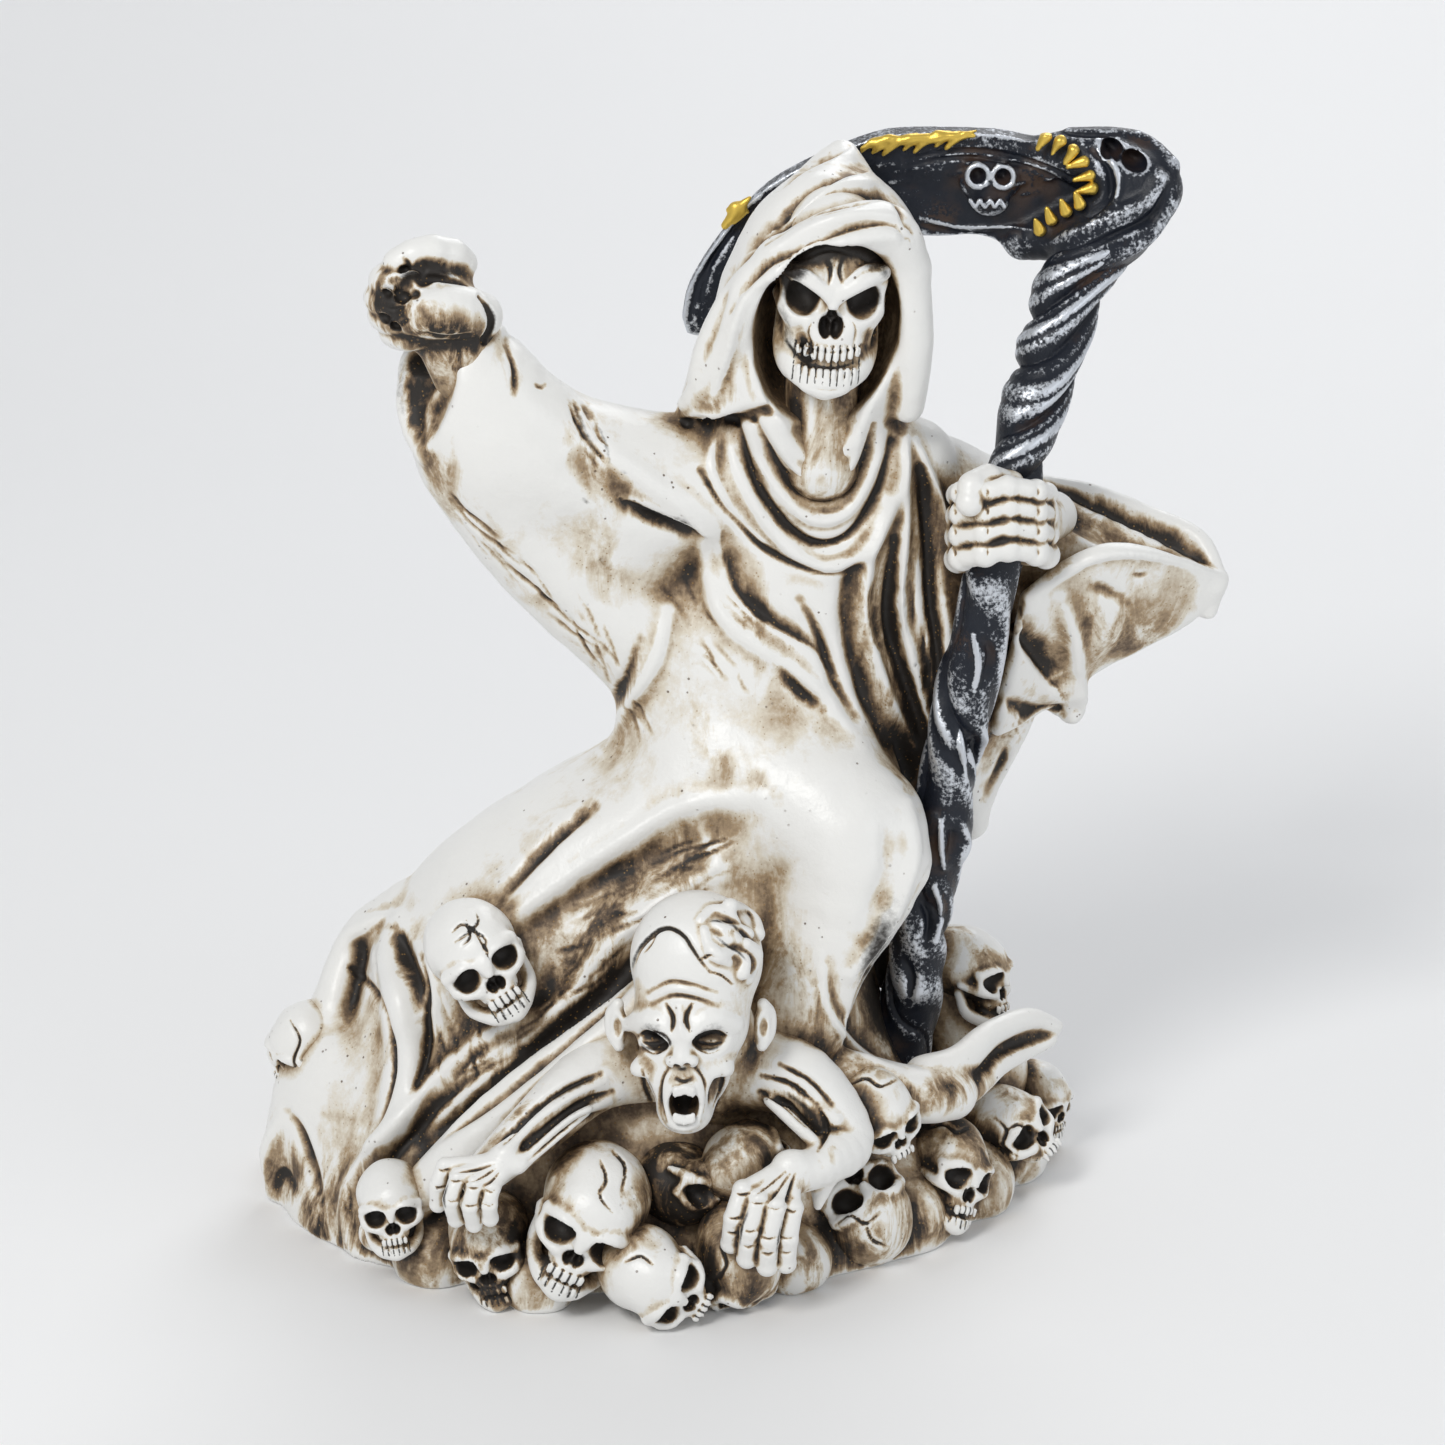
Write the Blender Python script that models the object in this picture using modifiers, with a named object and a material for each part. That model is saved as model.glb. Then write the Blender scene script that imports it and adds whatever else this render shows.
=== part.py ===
"""Robed skeleton statue with a scythe, cast in resin: a hooded figure rising from a heap of skulls.

Two castings: the figure with its heap, and the scythe that is pushed through its fist.
+X is the figure's left, -Y its front and +Z up. The origin is on the flat underside.
The figure is drawn on a grid GRID_HEIGHT units tall, and one unit is UNIT metres.
"""

import math

import bmesh
import bpy
import numpy as np
from mathutils import Matrix, Vector

# Driving dimensions, in metres
STATUE_HEIGHT = 0.2184
FIT_GAP = 0.0004

# Grid of the drawing
GRID_HEIGHT = 218.4
UNIT = STATUE_HEIGHT / GRID_HEIGHT

# Clay settings, in grid units, and how many faces each casting keeps
ROUGH_VOXEL = 2.0
CLAY_VOXEL = 1.25
SCYTHE_VOXEL = 1.1
FIGURE_TRIANGLES = 7600
SCYTHE_TRIANGLES = 1900
DETAIL_WEIGHT = 0.1
DETAIL_SHARE = 1e-4

# The front elevation, on which folds are drawn, is seen from a little above
VIEW_TILT = math.radians(20)
VIEW_DISTANCE = 1000
VIEW_HEIGHT = 100.3

# Scythe, in grid units: shaft stations as (x, y, z, radius), from the foot to the crook
SHAFT = (
    (36.5, -5, 27, 5.8),
    (40.7, -8, 65, 5.6),
    (44.2, -10, 90, 5.7),
    (49.6, -12, 120, 5.9),
    (54.6, -12, 145.6, 5.6),
    (57.8, -8, 159.6, 6.0),
    (62.9, 0, 173.4, 6.6),
    (68.4, 8, 188.4, 7.2),
    (75.0, 13, 199.5, 8.0),
)
SHAFT_LOBE = 0.09
SHAFT_TWIST = math.radians(26)
SHAFT_STEPS = 5
BLADE_Y = 16.5
BLADE_THICKNESS = 7

# Blade outline in the plane y = BLADE_Y, as (x, z)
BLADE_BACK = (
    *((72, 208), (64, 214.5), (55, 217), (46, 217.8), (38, 218), (30, 216.8)),
    *((20, 213), (9, 207), (0, 197.5), (-6.5, 187), (-8.3, 180)),
)
BLADE_EDGE = (
    *((-7, 176), (-3.5, 176), (0, 184), (6, 190.5), (15, 195.5), (27, 197.6)),
    *((41, 196), (50, 196.3), (59, 194), (70, 199)),
)


def clear_scene():
    for item in list(bpy.data.objects):
        bpy.data.objects.remove(item)


def new_collection(name):
    collection = bpy.data.collections.new(name)
    bpy.context.scene.collection.children.link(collection)
    return collection


def smooth_path(points, steps):
    """Catmull-Rom curve through the rows of points, which may carry a radius as well."""
    rows = np.array(points, float)
    ends = np.vstack([2 * rows[0] - rows[1], rows, 2 * rows[-1] - rows[-2]])
    found = []
    for i in range(1, len(ends) - 2):
        a, b, c, d = ends[i - 1 : i + 3]
        bend = 2 * a - 5 * b + 4 * c - d
        twist = 3 * b - a - 3 * c + d
        for k in range(steps):
            t = k / steps
            found.append(0.5 * (2 * b + (c - a) * t + bend * t**2 + twist * t**3))
    found.append(rows[-1])
    return np.array(found)


class Clay:
    """Closed shapes pressed together; they overlap until a remesh fuses them."""

    def __init__(self):
        self.mesh = bmesh.new()

    def ball(self, centre, radii, turn=(0, 0, 0)):
        """Ellipsoid, turned by degrees about X, Y and Z."""
        turned = Matrix.Rotation(math.radians(turn[2]), 4, "Z")
        turned = turned @ Matrix.Rotation(math.radians(turn[1]), 4, "Y")
        turned = turned @ Matrix.Rotation(math.radians(turn[0]), 4, "X")
        self.ball_at(Matrix.Translation(Vector(centre)) @ turned, radii)

    def ball_at(self, placed, radii):
        size = radii if hasattr(radii, "__len__") else (radii,) * 3
        matrix = placed @ Matrix.Diagonal((*size, 1))
        bmesh.ops.create_uvsphere(self.mesh, u_segments=20, v_segments=12, radius=1, matrix=matrix)

    def limb(self, *stations, steps=5, sides=14):
        """Round tube through stations (x, y, z, radius), with round ends."""
        path = smooth_path(stations, steps)
        self.loft([ring_across(path, i, sides) for i in range(len(path))])
        for end in (path[0], path[-1]):
            self.ball(end[:3], end[3])

    def loft(self, rings):
        """Skin over closed rings of equally many points, capped at both ends."""
        verts = [[self.mesh.verts.new(p) for p in ring] for ring in rings]
        for low, high in zip(verts, verts[1:]):
            for k in range(len(low)):
                n = (k + 1) % len(low)
                self.mesh.faces.new((low[k], low[n], high[n], high[k]))
        self.mesh.faces.new(list(reversed(verts[0])))
        self.mesh.faces.new(verts[-1])

    def sheet(self, rows, thickness, steps=4):
        """Cloth through rows of points, given thickness by Solidify."""
        along = [smooth_path(row, steps) for row in rows]
        across = [smooth_path([row[k] for row in along], steps) for k in range(len(along[0]))]
        cloth = bpy.data.meshes.new("cloth")
        wide, long = len(across), len(across[0])
        points = [tuple(p) for column in across for p in column]
        faces = [
            (i * long + j, i * long + j + 1, (i + 1) * long + j + 1, (i + 1) * long + j)
            for i in range(wide - 1)
            for j in range(long - 1)
        ]
        cloth.from_pydata(points, [], faces)
        holder = bpy.data.objects.new("cloth", cloth)
        bpy.context.scene.collection.objects.link(holder)
        solid = holder.modifiers.new("thickness", "SOLIDIFY")
        solid.thickness = thickness
        solid.offset = 0
        self.add_object(holder)

    def add_object(self, holder):
        """Takes in an object's evaluated mesh, and removes the object."""
        self.mesh.from_mesh(evaluated_mesh(holder))
        bpy.data.objects.remove(holder)

    def to_object(self, name, collection):
        """The loose shapes as one object, in metres."""
        bmesh.ops.scale(self.mesh, vec=(UNIT,) * 3, verts=self.mesh.verts)
        bmesh.ops.recalc_face_normals(self.mesh, faces=self.mesh.faces)
        data = bpy.data.meshes.new(name)
        self.mesh.to_mesh(data)
        self.mesh.free()
        made = bpy.data.objects.new(name, data)
        collection.objects.link(made)
        return made


def ring_across(path, i, sides, lobe=0.0, turn=0.0, extra=0.0):
    """Ring of points round station i of a path, square to it."""
    before, after = path[max(i - 1, 0)], path[min(i + 1, len(path) - 1)]
    along = Vector(after[:3] - before[:3]).normalized()
    side = along.cross(Vector((0, 1, 0.01))).normalized()
    other = along.cross(side)
    centre = Vector(path[i][:3])
    ring = []
    for k in range(sides):
        angle = 2 * math.pi * k / sides
        radius = float(path[i][3]) * (1 + lobe * math.cos(3 * (angle + turn))) + extra
        ring.append(centre + radius * (math.cos(angle) * side + math.sin(angle) * other))
    return ring


def evaluated_mesh(item):
    """A new mesh of the object as its modifiers leave it."""
    bpy.context.view_layer.update()
    graph = bpy.context.evaluated_depsgraph_get()
    return bpy.data.meshes.new_from_object(item.evaluated_get(graph), depsgraph=graph)


def bake(item):
    """Replaces the object's mesh by the evaluated one and drops its modifiers."""
    baked = evaluated_mesh(item)
    item.modifiers.clear()
    item.data = baked


def remesh(item, voxel):
    fuse = item.modifiers.new("fuse", "REMESH")
    fuse.mode = "VOXEL"
    fuse.voxel_size = voxel * UNIT
    bake(item)


def soften(item, times):
    soft = item.modifiers.new("soften", "SMOOTH")
    soft.factor = 0.5
    soft.iterations = times
    bake(item)


def cut(item, cutter):
    """Difference modifier that stays on the object; the cutter is hidden."""
    away = item.modifiers.new("cut_" + cutter.name, "BOOLEAN")
    away.operation = "DIFFERENCE"
    away.object = cutter
    cutter.hide_render = True
    cutter.display_type = "WIRE"


def points_and_normals(item):
    """Vertex places in grid units, and vertex normals."""
    count = len(item.data.vertices) * 3
    place = np.empty(count)
    item.data.vertices.foreach_get("co", place)
    normal = np.empty(count)
    item.data.vertices.foreach_get("normal", normal)
    return place.reshape(-1, 3) / UNIT, normal.reshape(-1, 3)


def set_points(item, place):
    item.data.vertices.foreach_set("co", (place * UNIT).ravel())
    item.data.update()


def view_axes():
    """Directions away from the viewer and up on the front elevation."""
    away = np.array((0, math.cos(VIEW_TILT), -math.sin(VIEW_TILT)))
    up = np.array((0, math.sin(VIEW_TILT), math.cos(VIEW_TILT)))
    return away, up


def front_view(points):
    """Where points in grid units show on the front elevation, as (right, up)."""
    away, up = view_axes()
    eye = np.array((0, 0, VIEW_HEIGHT)) - VIEW_DISTANCE * away
    seen = points - eye
    scale = VIEW_DISTANCE / (seen @ away)
    return np.column_stack([seen[:, 0] * scale, (seen @ up) * scale])


def draw_folds(item, strokes):
    """Raises ridges and presses grooves into the side that faces the front elevation.

    A stroke is (width, height, points on the elevation); a negative height is a groove.
    """
    place, normal = points_and_normals(item)
    flat = front_view(place)
    facing = np.clip(-(normal @ view_axes()[0]) * 3, 0, 1)
    push = np.zeros(len(place))
    for width, height, points in strokes:
        path = smooth_path(points, 6)
        inside = (flat > path.min(axis=0) - 2 * width) & (flat < path.max(axis=0) + 2 * width)
        close = np.nonzero(inside.all(axis=1) & (facing > 0))[0]
        spots = flat[close]
        nearest = np.full(len(close), np.inf)
        share = np.zeros(len(close))
        for k in range(len(path) - 1):
            start, step = path[k], path[k + 1] - path[k]
            t = np.clip(((spots - start) @ step) / (step @ step), 0, 1)
            gap = np.linalg.norm(spots - start - t[:, None] * step, axis=1)
            closer = gap < nearest
            share[closer] = (k + t[closer]) / (len(path) - 1)
            nearest = np.minimum(nearest, gap)
        taper = np.sqrt(np.sin(np.pi * np.clip(share, 0.04, 0.96)))
        push[close] += height * taper * np.exp(-((nearest / (0.5 * width)) ** 2))
    set_points(item, place + normal * (push * facing)[:, None])


def press_spots(item, spots):
    """Presses round hollows (centre, radius, depth, way in) into the surface."""
    place, _ = points_and_normals(item)
    for centre, radius, depth, way in spots:
        inward = np.array(way, float)
        inward /= np.linalg.norm(inward)
        offset = place - np.array(centre, float)
        along = offset @ inward
        across = np.linalg.norm(offset - along[:, None] * inward, axis=1)
        share = np.clip(1 - (across / radius) ** 2, 0, 1)
        share *= np.abs(along) < 1.6 * radius
        place += depth * share[:, None] * inward
    set_points(item, place)


def plain_material(name, colour, roughness, metallic):
    made = bpy.data.materials.new(name)
    made.use_nodes = True
    shader = made.node_tree.nodes["Principled BSDF"]
    shader.inputs["Base Color"].default_value = (*colour, 1)
    shader.inputs["Roughness"].default_value = roughness
    shader.inputs["Metallic"].default_value = metallic
    return made


# Robe: (z, centre x, centre y, half width, half depth) of each level
ROBE_LEVELS = (
    (-3, -18, -3, 74, 52),
    (10, -18, -3, 71, 50),
    (24, -20, -3, 63, 46),
    (40, -21, -3, 54, 39),
    (55, -20, -3, 50, 33),
    (66, -16, -3, 48, 30),
    (76, -10, -3, 45, 28),
    (85, -3, -3, 39, 26),
    (96, 6, -2, 30, 22),
    (106, 8, -1, 28, 20),
    (120, 10, 0, 26, 18.5),
    (134, 13, 1, 26, 18),
    (147, 16, 1, 26, 17),
    (157, 17.5, 0, 23, 15),
    (165, 18, -1, 16, 12),
    (170, 18.5, -2, 9, 9),
)
ROBE_SIDES = 44
BACK_FOLDS = 7
FOLD_DEPTH = 0.05


def robe_ring(level):
    """One closed ring of the robe; folds run down its back."""
    z, x, y, wide, deep = level
    ring = []
    for k in range(ROBE_SIDES):
        angle = 2 * math.pi * k / ROBE_SIDES
        back = max(math.sin(angle), 0)
        fold = 1 + FOLD_DEPTH * back * math.cos(BACK_FOLDS * angle + z / 50)
        ring.append((x + wide * fold * math.cos(angle), y + deep * fold * math.sin(angle), z))
    return ring


def press_robe(clay):
    levels = smooth_path(ROBE_LEVELS, 3)
    clay.loft([robe_ring(level) for level in levels])
    # Bent knee, thigh and shin under the cloth
    clay.limb((0, -8, 96, 17), (24, -20, 84, 17), (20, -26, 62, 14), (10, -30, 44, 12))
    # Outstretched leg and the two long folds that run to the lower left
    clay.limb((2, -10, 92, 15), (-24, -18, 76, 12), (-46, -24, 60, 10), (-60, -22, 48, 8))
    clay.limb((6, -34, 68, 8), (-20, -40, 52, 6), (-44, -44, 34, 5.5), (-60, -46, 18, 5), (-68, -42, 8, 4))
    # Cloth that trails to the left corner, with its curled top edge
    clay.limb((-64, 0, 60, 6), (-74, 2, 53, 4), (-80, -4, 38, 5), (-89, -8, 14, 5.5), (-91.5, -9, 2, 4.5))
    clay.limb((-62, -10, 58, 6), (-62, -22, 44, 5), (-63, -32, 26, 6), (-66, -36, 10, 6))
    clay.ball((-77, -5, 18), (15, 17, 22))
    # Cape that runs down the back
    clay.limb((16, 8, 158, 12), (12, 18, 120, 12), (2, 24, 84, 16), (-10, 34, 40, 18), (-14, 40, 8, 14))
    # Tail of cloth that curls up at the right of the heap
    clay.limb((24, -32, 37, 6), (40, -28, 33, 6.5), (55, -14, 35, 6), (64, -4, 37, 4.5), (69, 0, 35, 3))


def press_raised_sleeve(clay):
    clay.limb((14, 0, 152, 16), (-10, -5, 152, 14), (-30, -10, 157, 13.5), (-45, -14, 168, 12))
    clay.limb((-38, -12, 162, 12), (-49, -16, 176, 10))
    clay.limb((-46, -10, 160, 14), (-33, -5, 140, 14), (-14, -2, 121, 15), (0, 0, 105, 17))
    clay.ball((-22, -6, 146), (18, 13, 16), (0, 35, 0))


def press_staff_sleeve(clay):
    clay.limb((34, 2, 152, 11), (50, 8, 142, 12), (68, 8, 134, 10), (84, 7, 131, 6), (101, 5, 127.5, 2.6))
    clay.limb((36, 2, 140, 13), (44, 4, 112, 12), (46, 7, 92, 8), (50, 8, 76, 4))
    clay.limb((50, 5, 124, 12), (66, 5, 112, 9), (73, 5, 100, 3.4))
    front = (
        ((60, -10, 130), (68, -9, 136), (77, -7, 138.5), (89, -2, 135), (102, 5, 128)),
        ((58, -8, 118), (66, -4, 120), (76, -2, 121), (84, 2, 121), (92, 5, 121)),
        ((55, -2, 100), (61, 1, 102), (68, 3, 107), (76, 4, 112), (84, 5, 116)),
    )
    back = (
        ((60, 14, 147), (74, 14, 144), (86, 14, 139), (96, 11, 135.5), (102, 6, 129)),
        ((58, 14, 132), (70, 14, 130), (82, 13, 128), (92, 9, 124), (97, 6, 122)),
    )
    clay.sheet(front, 4)
    clay.sheet(back, 4)


def press_hood(clay):
    clay.ball((20, -7, 196), (19, 18, 23.5), (0, 8, 0))
    clay.limb((18, -6, 186, 20), (17, -5, 174, 19), (17, -3, 166, 16))
    # Rim of the opening, from its flared lower left over the brow to the right side
    clay.limb((-5, -13, 169, 4), (-1, -16, 178, 6), (4, -18, 190, 7), (12, -21, 200, 6.5), steps=4)
    clay.limb((12, -21, 200, 6.5), (22, -22, 206, 6), (31, -19, 206, 6), (34.5, -16, 198, 5), steps=4)
    clay.limb((34.5, -16, 198, 5), (35.5, -15, 184, 5), (35, -12, 170, 4), steps=4)
    # Shoulder cape under the hood
    clay.limb((-2, -4, 160, 8), (18, -6, 162, 11), (38, -1, 156, 8))


# Hollows of the robe: centre, radii and turn
HOOD_HOLLOW = ((20, -25, 184), (14.5, 17, 21.5), (0, 12, 0))
CUFF_HOLLOW = ((-61, -17, 172), (9, 9, 14), (0, -14, 0))
SLEEVE_HOLLOW = ((79, 3.5, 144), (21, 6, 8.5), (0, 22, 0))


def skull_frame(centre, face, roll):
    """Matrix of a skull that looks along face; its own +Z is the crown."""
    forward = Vector(face).normalized()
    side = forward.cross(Vector((0, 0, 1))).normalized()
    crown = side.cross(forward)
    turned = Matrix((side, -forward, crown)).transposed().to_4x4()
    return Matrix.Translation(Vector(centre)) @ turned @ Matrix.Rotation(math.radians(roll), 4, "Y")


# Lobes of a bare skull, as shares of its radius: centre and radii
SKULL_LOBES = (
    ((0, 0.14, 0.16), (0.88, 0.98, 0.86)),
    ((0, -0.4, -0.1), (0.76, 0.52, 0.56)),
    ((-0.5, -0.5, -0.3), (0.28, 0.28, 0.24)),
    ((0.5, -0.5, -0.3), (0.28, 0.28, 0.24)),
    ((0, -0.56, -0.58), (0.46, 0.36, 0.36)),
)
JAW_LOBE = ((0, -0.5, -0.88), (0.48, 0.4, 0.3))
# Sockets and nose: place, radius and depth
SKULL_HOLES = (
    ((-0.42, -0.82, 0.06), 0.33, 0.28),
    ((0.42, -0.82, 0.06), 0.33, 0.28),
    ((0, -0.9, -0.4), 0.2, 0.2),
)


def press_skull(clay, centre, radius, face, roll, jaw):
    """Cranium, cheeks and teeth ridge; the sockets are pressed in later."""
    at = skull_frame(centre, face, roll)
    lobes = (*SKULL_LOBES, JAW_LOBE) if jaw else SKULL_LOBES
    for place, radii in lobes:
        shifted = at @ Matrix.Translation(Vector(place) * radius)
        clay.ball_at(shifted, [radius * share for share in radii])


# Skulls of the heap: centre, radius, way they look, roll, jaw
SKULLS = (
    ((-47.8, -36, 63.5), 10.4, (0.3, -0.9, 0), -20, True),
    ((-85, -6, 33.5), 7.8, (-0.75, -0.5, -0.3), 12, False),
    ((-65.6, -48, 17), 8.2, (0.05, -1, 0), 4, True),
    ((-46, -56, 13), 9.5, (0.1, -0.9, -0.1), 14, True),
    ((-27, -58, 19.5), 11.8, (-0.15, -0.9, 0), 14, True),
    ((-13, -66, 6.5), 9.8, (0.55, -0.7, 0.2), -40, False),
    ((2.5, -57, 9), 10, (0.3, -0.3, -0.9), 0, False),
    ((-6, -50, 26), 9.5, (-0.3, -0.9, -0.2), 0, False),
    ((6, -48, 27), 9, (0.5, -0.5, 0.6), 0, False),
    ((30.2, -36, 31.5), 8.4, (0.4, -0.85, 0), -8, False),
    ((27.4, -37, 8), 11, (0.1, -0.7, 0.7), 150, False),
    ((44.8, -22, 13.5), 9.6, (0.45, -0.85, 0.1), -16, True),
    ((57.5, -4, 13), 9.6, (0.7, -0.6, 0.4), 30, False),
    ((66, 11, 14), 6.6, (0.8, -0.6, -0.2), 0, True),
    ((50, 6, 44), 9, (0.75, -0.7, 0), -10, True),
    ((53, 28, 13), 10.5, (0.6, 0.8, 0), 0, True),
    ((26, 42, 13), 10.5, (0.2, 0.95, -0.1), 10, True),
    ((-42, 43, 14), 11, (-0.2, 0.95, -0.1), -12, True),
    ((-72, 28, 14), 10.5, (-0.7, 0.7, 0), 8, True),
)
# Rubble between the skulls: x, y and radius
RUBBLE = (
    *((-57, -44, 10), (-36, -56, 9), (14, -48, 9), (36, -28, 11), (50, -12, 11), (58, 4, 11)),
    *((62, 18, 11), (40, 36, 13), (8, 45, 12), (-20, 46, 12), (-58, 37, 12), (-82, 14, 11)),
)
RUBBLE_HEIGHT = 5


def press_heap(clay):
    for skull in SKULLS:
        press_skull(clay, *skull)
    for x, y, r in RUBBLE:
        clay.ball((x, y, RUBBLE_HEIGHT), r)
    # Bank behind the foot of the staff, which carries one more skull
    clay.limb((32, 9, 54, 9), (46, 11, 36, 10), (52, 10, 20, 12))


def press_crawler(clay):
    """The bald figure that crawls out of the heap, with both arms."""
    clay.ball((-5, -51, 70.5), (13, 13, 13.5))
    clay.ball((-6, -56, 60), (11.8, 11, 11))
    clay.ball((-7, -59, 50.5), (9.4, 8, 9))
    clay.ball((-7.2, -60.5, 43.5), (6, 5.5, 5.4))
    clay.limb((-5, -48, 58, 10), (-4, -38, 46, 13), (0, -28, 36, 15))
    for x in (-19, 7.2):
        clay.ball((x, -50.5, 57.5), (1.8, 3, 5))
    left = ((-8, -42, 46, 9), (-24, -46, 44, 7.5), (-36, -55, 37, 6.2), (-46, -61, 29, 4.8))
    right = ((2, -40, 44, 9), (15, -43, 41, 8), (23.5, -47, 31, 6.8), (20, -54, 29, 5.4), (12, -60, 29, 4))
    clay.limb(*left)
    clay.limb(*right)
    press_palm(clay, (-49, -63, 25), (-0.25, -0.3, -1))
    press_palm(clay, (9, -64, 24), (-0.3, -0.25, -1))


FINGER_SPREAD = 4.2


def press_palm(clay, centre, down):
    """Flat bony hand with four fingers that hang down."""
    down = Vector(down).normalized()
    side = down.cross(Vector((0, -1, 0))).normalized()
    clay.ball(centre, (7, 3.8, 5))
    for k in (-1.5, -0.5, 0.5, 1.5):
        root = Vector(centre) + side * (k * FINGER_SPREAD)
        knuckle = root + down * 5 + Vector((0, -1.8, 0))
        clay.limb((*root, 2.3), (*knuckle, 2.1), (*(root + down * 10), 1.6), sides=8)


def press_head(clay):
    """Skull in the hood, with neck."""
    clay.ball((20.5, -12, 195), (11, 12, 12))
    clay.ball((20.6, -18.5, 187), (10, 7, 8))
    clay.ball((20.4, -20.5, 181), (7.6, 5.8, 6.4))
    clay.ball((20.1, -21, 177), (6.6, 5, 3.8))
    clay.limb((19.5, -10, 186, 6.5), (18.5, -11, 170, 5.5), (18, -10, 158, 7))


def press_raised_fist(clay):
    clay.limb((-45, -16, 170, 8), (-49, -18, 180, 7.5), (-53, -18, 187, 7.5))
    clay.ball((-54, -17, 190.5), (9.6, 9.5, 9.6))
    for k in range(4):
        y = -25 + 4.8 * k
        bend = ((-47.5, y, 195.5, 3.5), (-54, y, 199, 3.5), (-61.5, y, 197.5, 3.4))
        clay.limb(*bend, (-65, y, 191.5, 3.2), (-63.5, y, 186, 3), (-58, y, 184.5, 2.8), sides=10)
    clay.limb((-46, -21, 184, 5), (-52, -26, 187, 4.6), (-59, -28, 189.5, 3.6), sides=10)


def press_staff_fist(clay):
    clay.limb((55, -3, 146, 9), (64, 0, 145.5, 8.5), (76, 5, 141, 7.5), (86, 6, 134, 4))
    clay.ball((61, -10, 146), (6.5, 8, 10.5))
    for k in range(4):
        z = 140.8 + 4.8 * k
        bend = ((63, -10, z, 2.7), (62, -19, z, 2.6), (54, -22, z, 2.5))
        clay.limb(*bend, (46.5, -18, z - 1, 2.4), (46, -11, z, 2.3), sides=10)
    clay.ball((48, -8, 146.5), (5, 6, 9))
    clay.limb((46, -12, 154, 3), (46, -18, 157, 2.8), (48, -21.5, 154, 2.6), sides=10)


# Folds on the front elevation: (width, height, points), in grid units from the middle of the view
FOLDS = (
    # Cowl at the neck
    (4, 1.6, ((3, 60), (9, 51), (20, 46), (30, 50), (34, 60))),
    (4, -1.4, ((5, 54), (11, 45), (20, 41.5), (29, 46))),
    (4, 1.6, ((1, 58), (8, 44), (19, 38.5), (29, 43), (35, 56))),
    (4, -1.8, ((8, 41), (13, 35.5), (20, 33.5), (27, 37), (32, 44))),
    (5, 1.8, ((0, 58), (7, 41), (18, 29.5), (27, 32), (34, 44))),
    (4, -1.4, ((0, 61), (4, 48), (10, 37), (15, 31))),
    # Chest and waist
    (6, -2.6, ((-2, 37), (2, 26), (10, 20), (17, 15))),
    (5, 1.8, ((-5, 40), (-1, 24), (12, 14), (27, -2))),
    (5, -2.6, ((27, 22), (31, 6), (35, -4), (39, -12))),
    (4, 2.0, ((32, 44), (28, 24), (30, 12), (36, -2))),
    (4, -2.6, ((35, 34), (35, 16), (41, -4))),
    (4, 2.2, ((37, 52), (35, 24), (40, 4), (42, -8))),
    (4, -2.6, ((41, 50), (44, 26), (45, 8))),
    # Raised sleeve
    (4.4, -4.0, ((-28, 51), (-17, 42), (-6, 38))),
    (5, 1.8, ((-26, 56), (-14, 47), (-4, 40), (0, 30))),
    (4, -1.8, ((-30, 61), (-26, 54), (-22, 50))),
    (4, 1.4, ((-24, -6), (-18, 6), (-8, 18))),
    (3.4, 1.6, ((-46, 80), (-57, 72), (-60, 64), (-60, 54))),
    # Lap and skirt
    (12, -6.0, ((-2, -21), (-17, -27), (-32, -36), (-44, -45))),
    (7, 3.0, ((0, -32), (-24, -50), (-50, -72), (-68, -88))),
    (6, -3.4, ((-16, -46), (-32, -61), (-56, -86))),
    (3, -2.0, ((-26, -16), (-44, -34), (-52, -40))),
    (5, 2.2, ((37, -16), (38, -28), (33, -42), (25, -54))),
    (7, -3.0, ((22, -48), (24, -58), (30, -64), (36, -67))),
    # Trailing cloth at the lower left
    (6, 2.6, ((-65, -38), (-62, -52), (-62, -64), (-65, -73), (-70, -84))),
    (5, -3.6, ((-71, -42), (-68, -54), (-68, -66), (-72, -78))),
    (3, -1.8, ((-89, -80), (-93, -93))),
    (5, 2.0, ((-76, -44), (-72, -54), (-73, -66))),
    # Hood bands
    (3, -1.7, ((11, 107), (19, 113), (27, 116))),
    (3.2, -1.9, ((11, 100), (16, 105), (24, 110), (33, 111))),
    (3.2, -1.9, ((8, 97), (18, 102), (27, 105), (34, 105), (37, 99))),
    (3, -1.6, ((3, 83), (8, 91), (18, 95), (26, 99), (33, 99))),
    # Staff sleeve
    (7, -3.6, ((58, 10), (66, 5), (72, -1))),
    (6, -2.6, ((82, 22), (76, 14), (74, 8))),
    # Fingers round the staff, and the crawler's brow and mouth corners
    (2.2, -1.5, ((46, 46), (56, 46.5), (66, 46))),
    (2.2, -1.5, ((46, 41), (56, 41.5), (66, 41))),
    (2.2, -1.5, ((46, 36), (56, 36), (66, 36))),
    (4, 1.4, ((-17, -58), (-8, -60), (1, -58))),
)

# Holes of the two faces: centre, radius, depth and way in
FACE_SPOTS = (
    ((14.7, -23, 195), 4.4, 3.4, (0, 1, 0)),
    ((27, -23, 195), 4.4, 3.4, (0, 1, 0)),
    ((20.8, -26, 189), 2.6, 2.6, (0, 1, 0)),
    ((-13, -64, 61.6), 4, 1.8, (0, 1, -0.2)),
    ((-1, -64, 61), 4, 1.8, (0, 1, -0.2)),
    ((-7.5, -66, 48), 4.8, 4.5, (0, 1, 0)),
)


# Places that keep more of their faces: centre and reach
DETAILS = (
    ((20.5, -20, 188), 17),
    ((18, -20, 160), 17),
    ((55, -16, 148), 13),
    ((-56, -18, 192), 15),
    ((-6, -60, 58), 20),
    ((-49, -65, 21), 11),
    ((9, -66, 20), 11),
)


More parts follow.
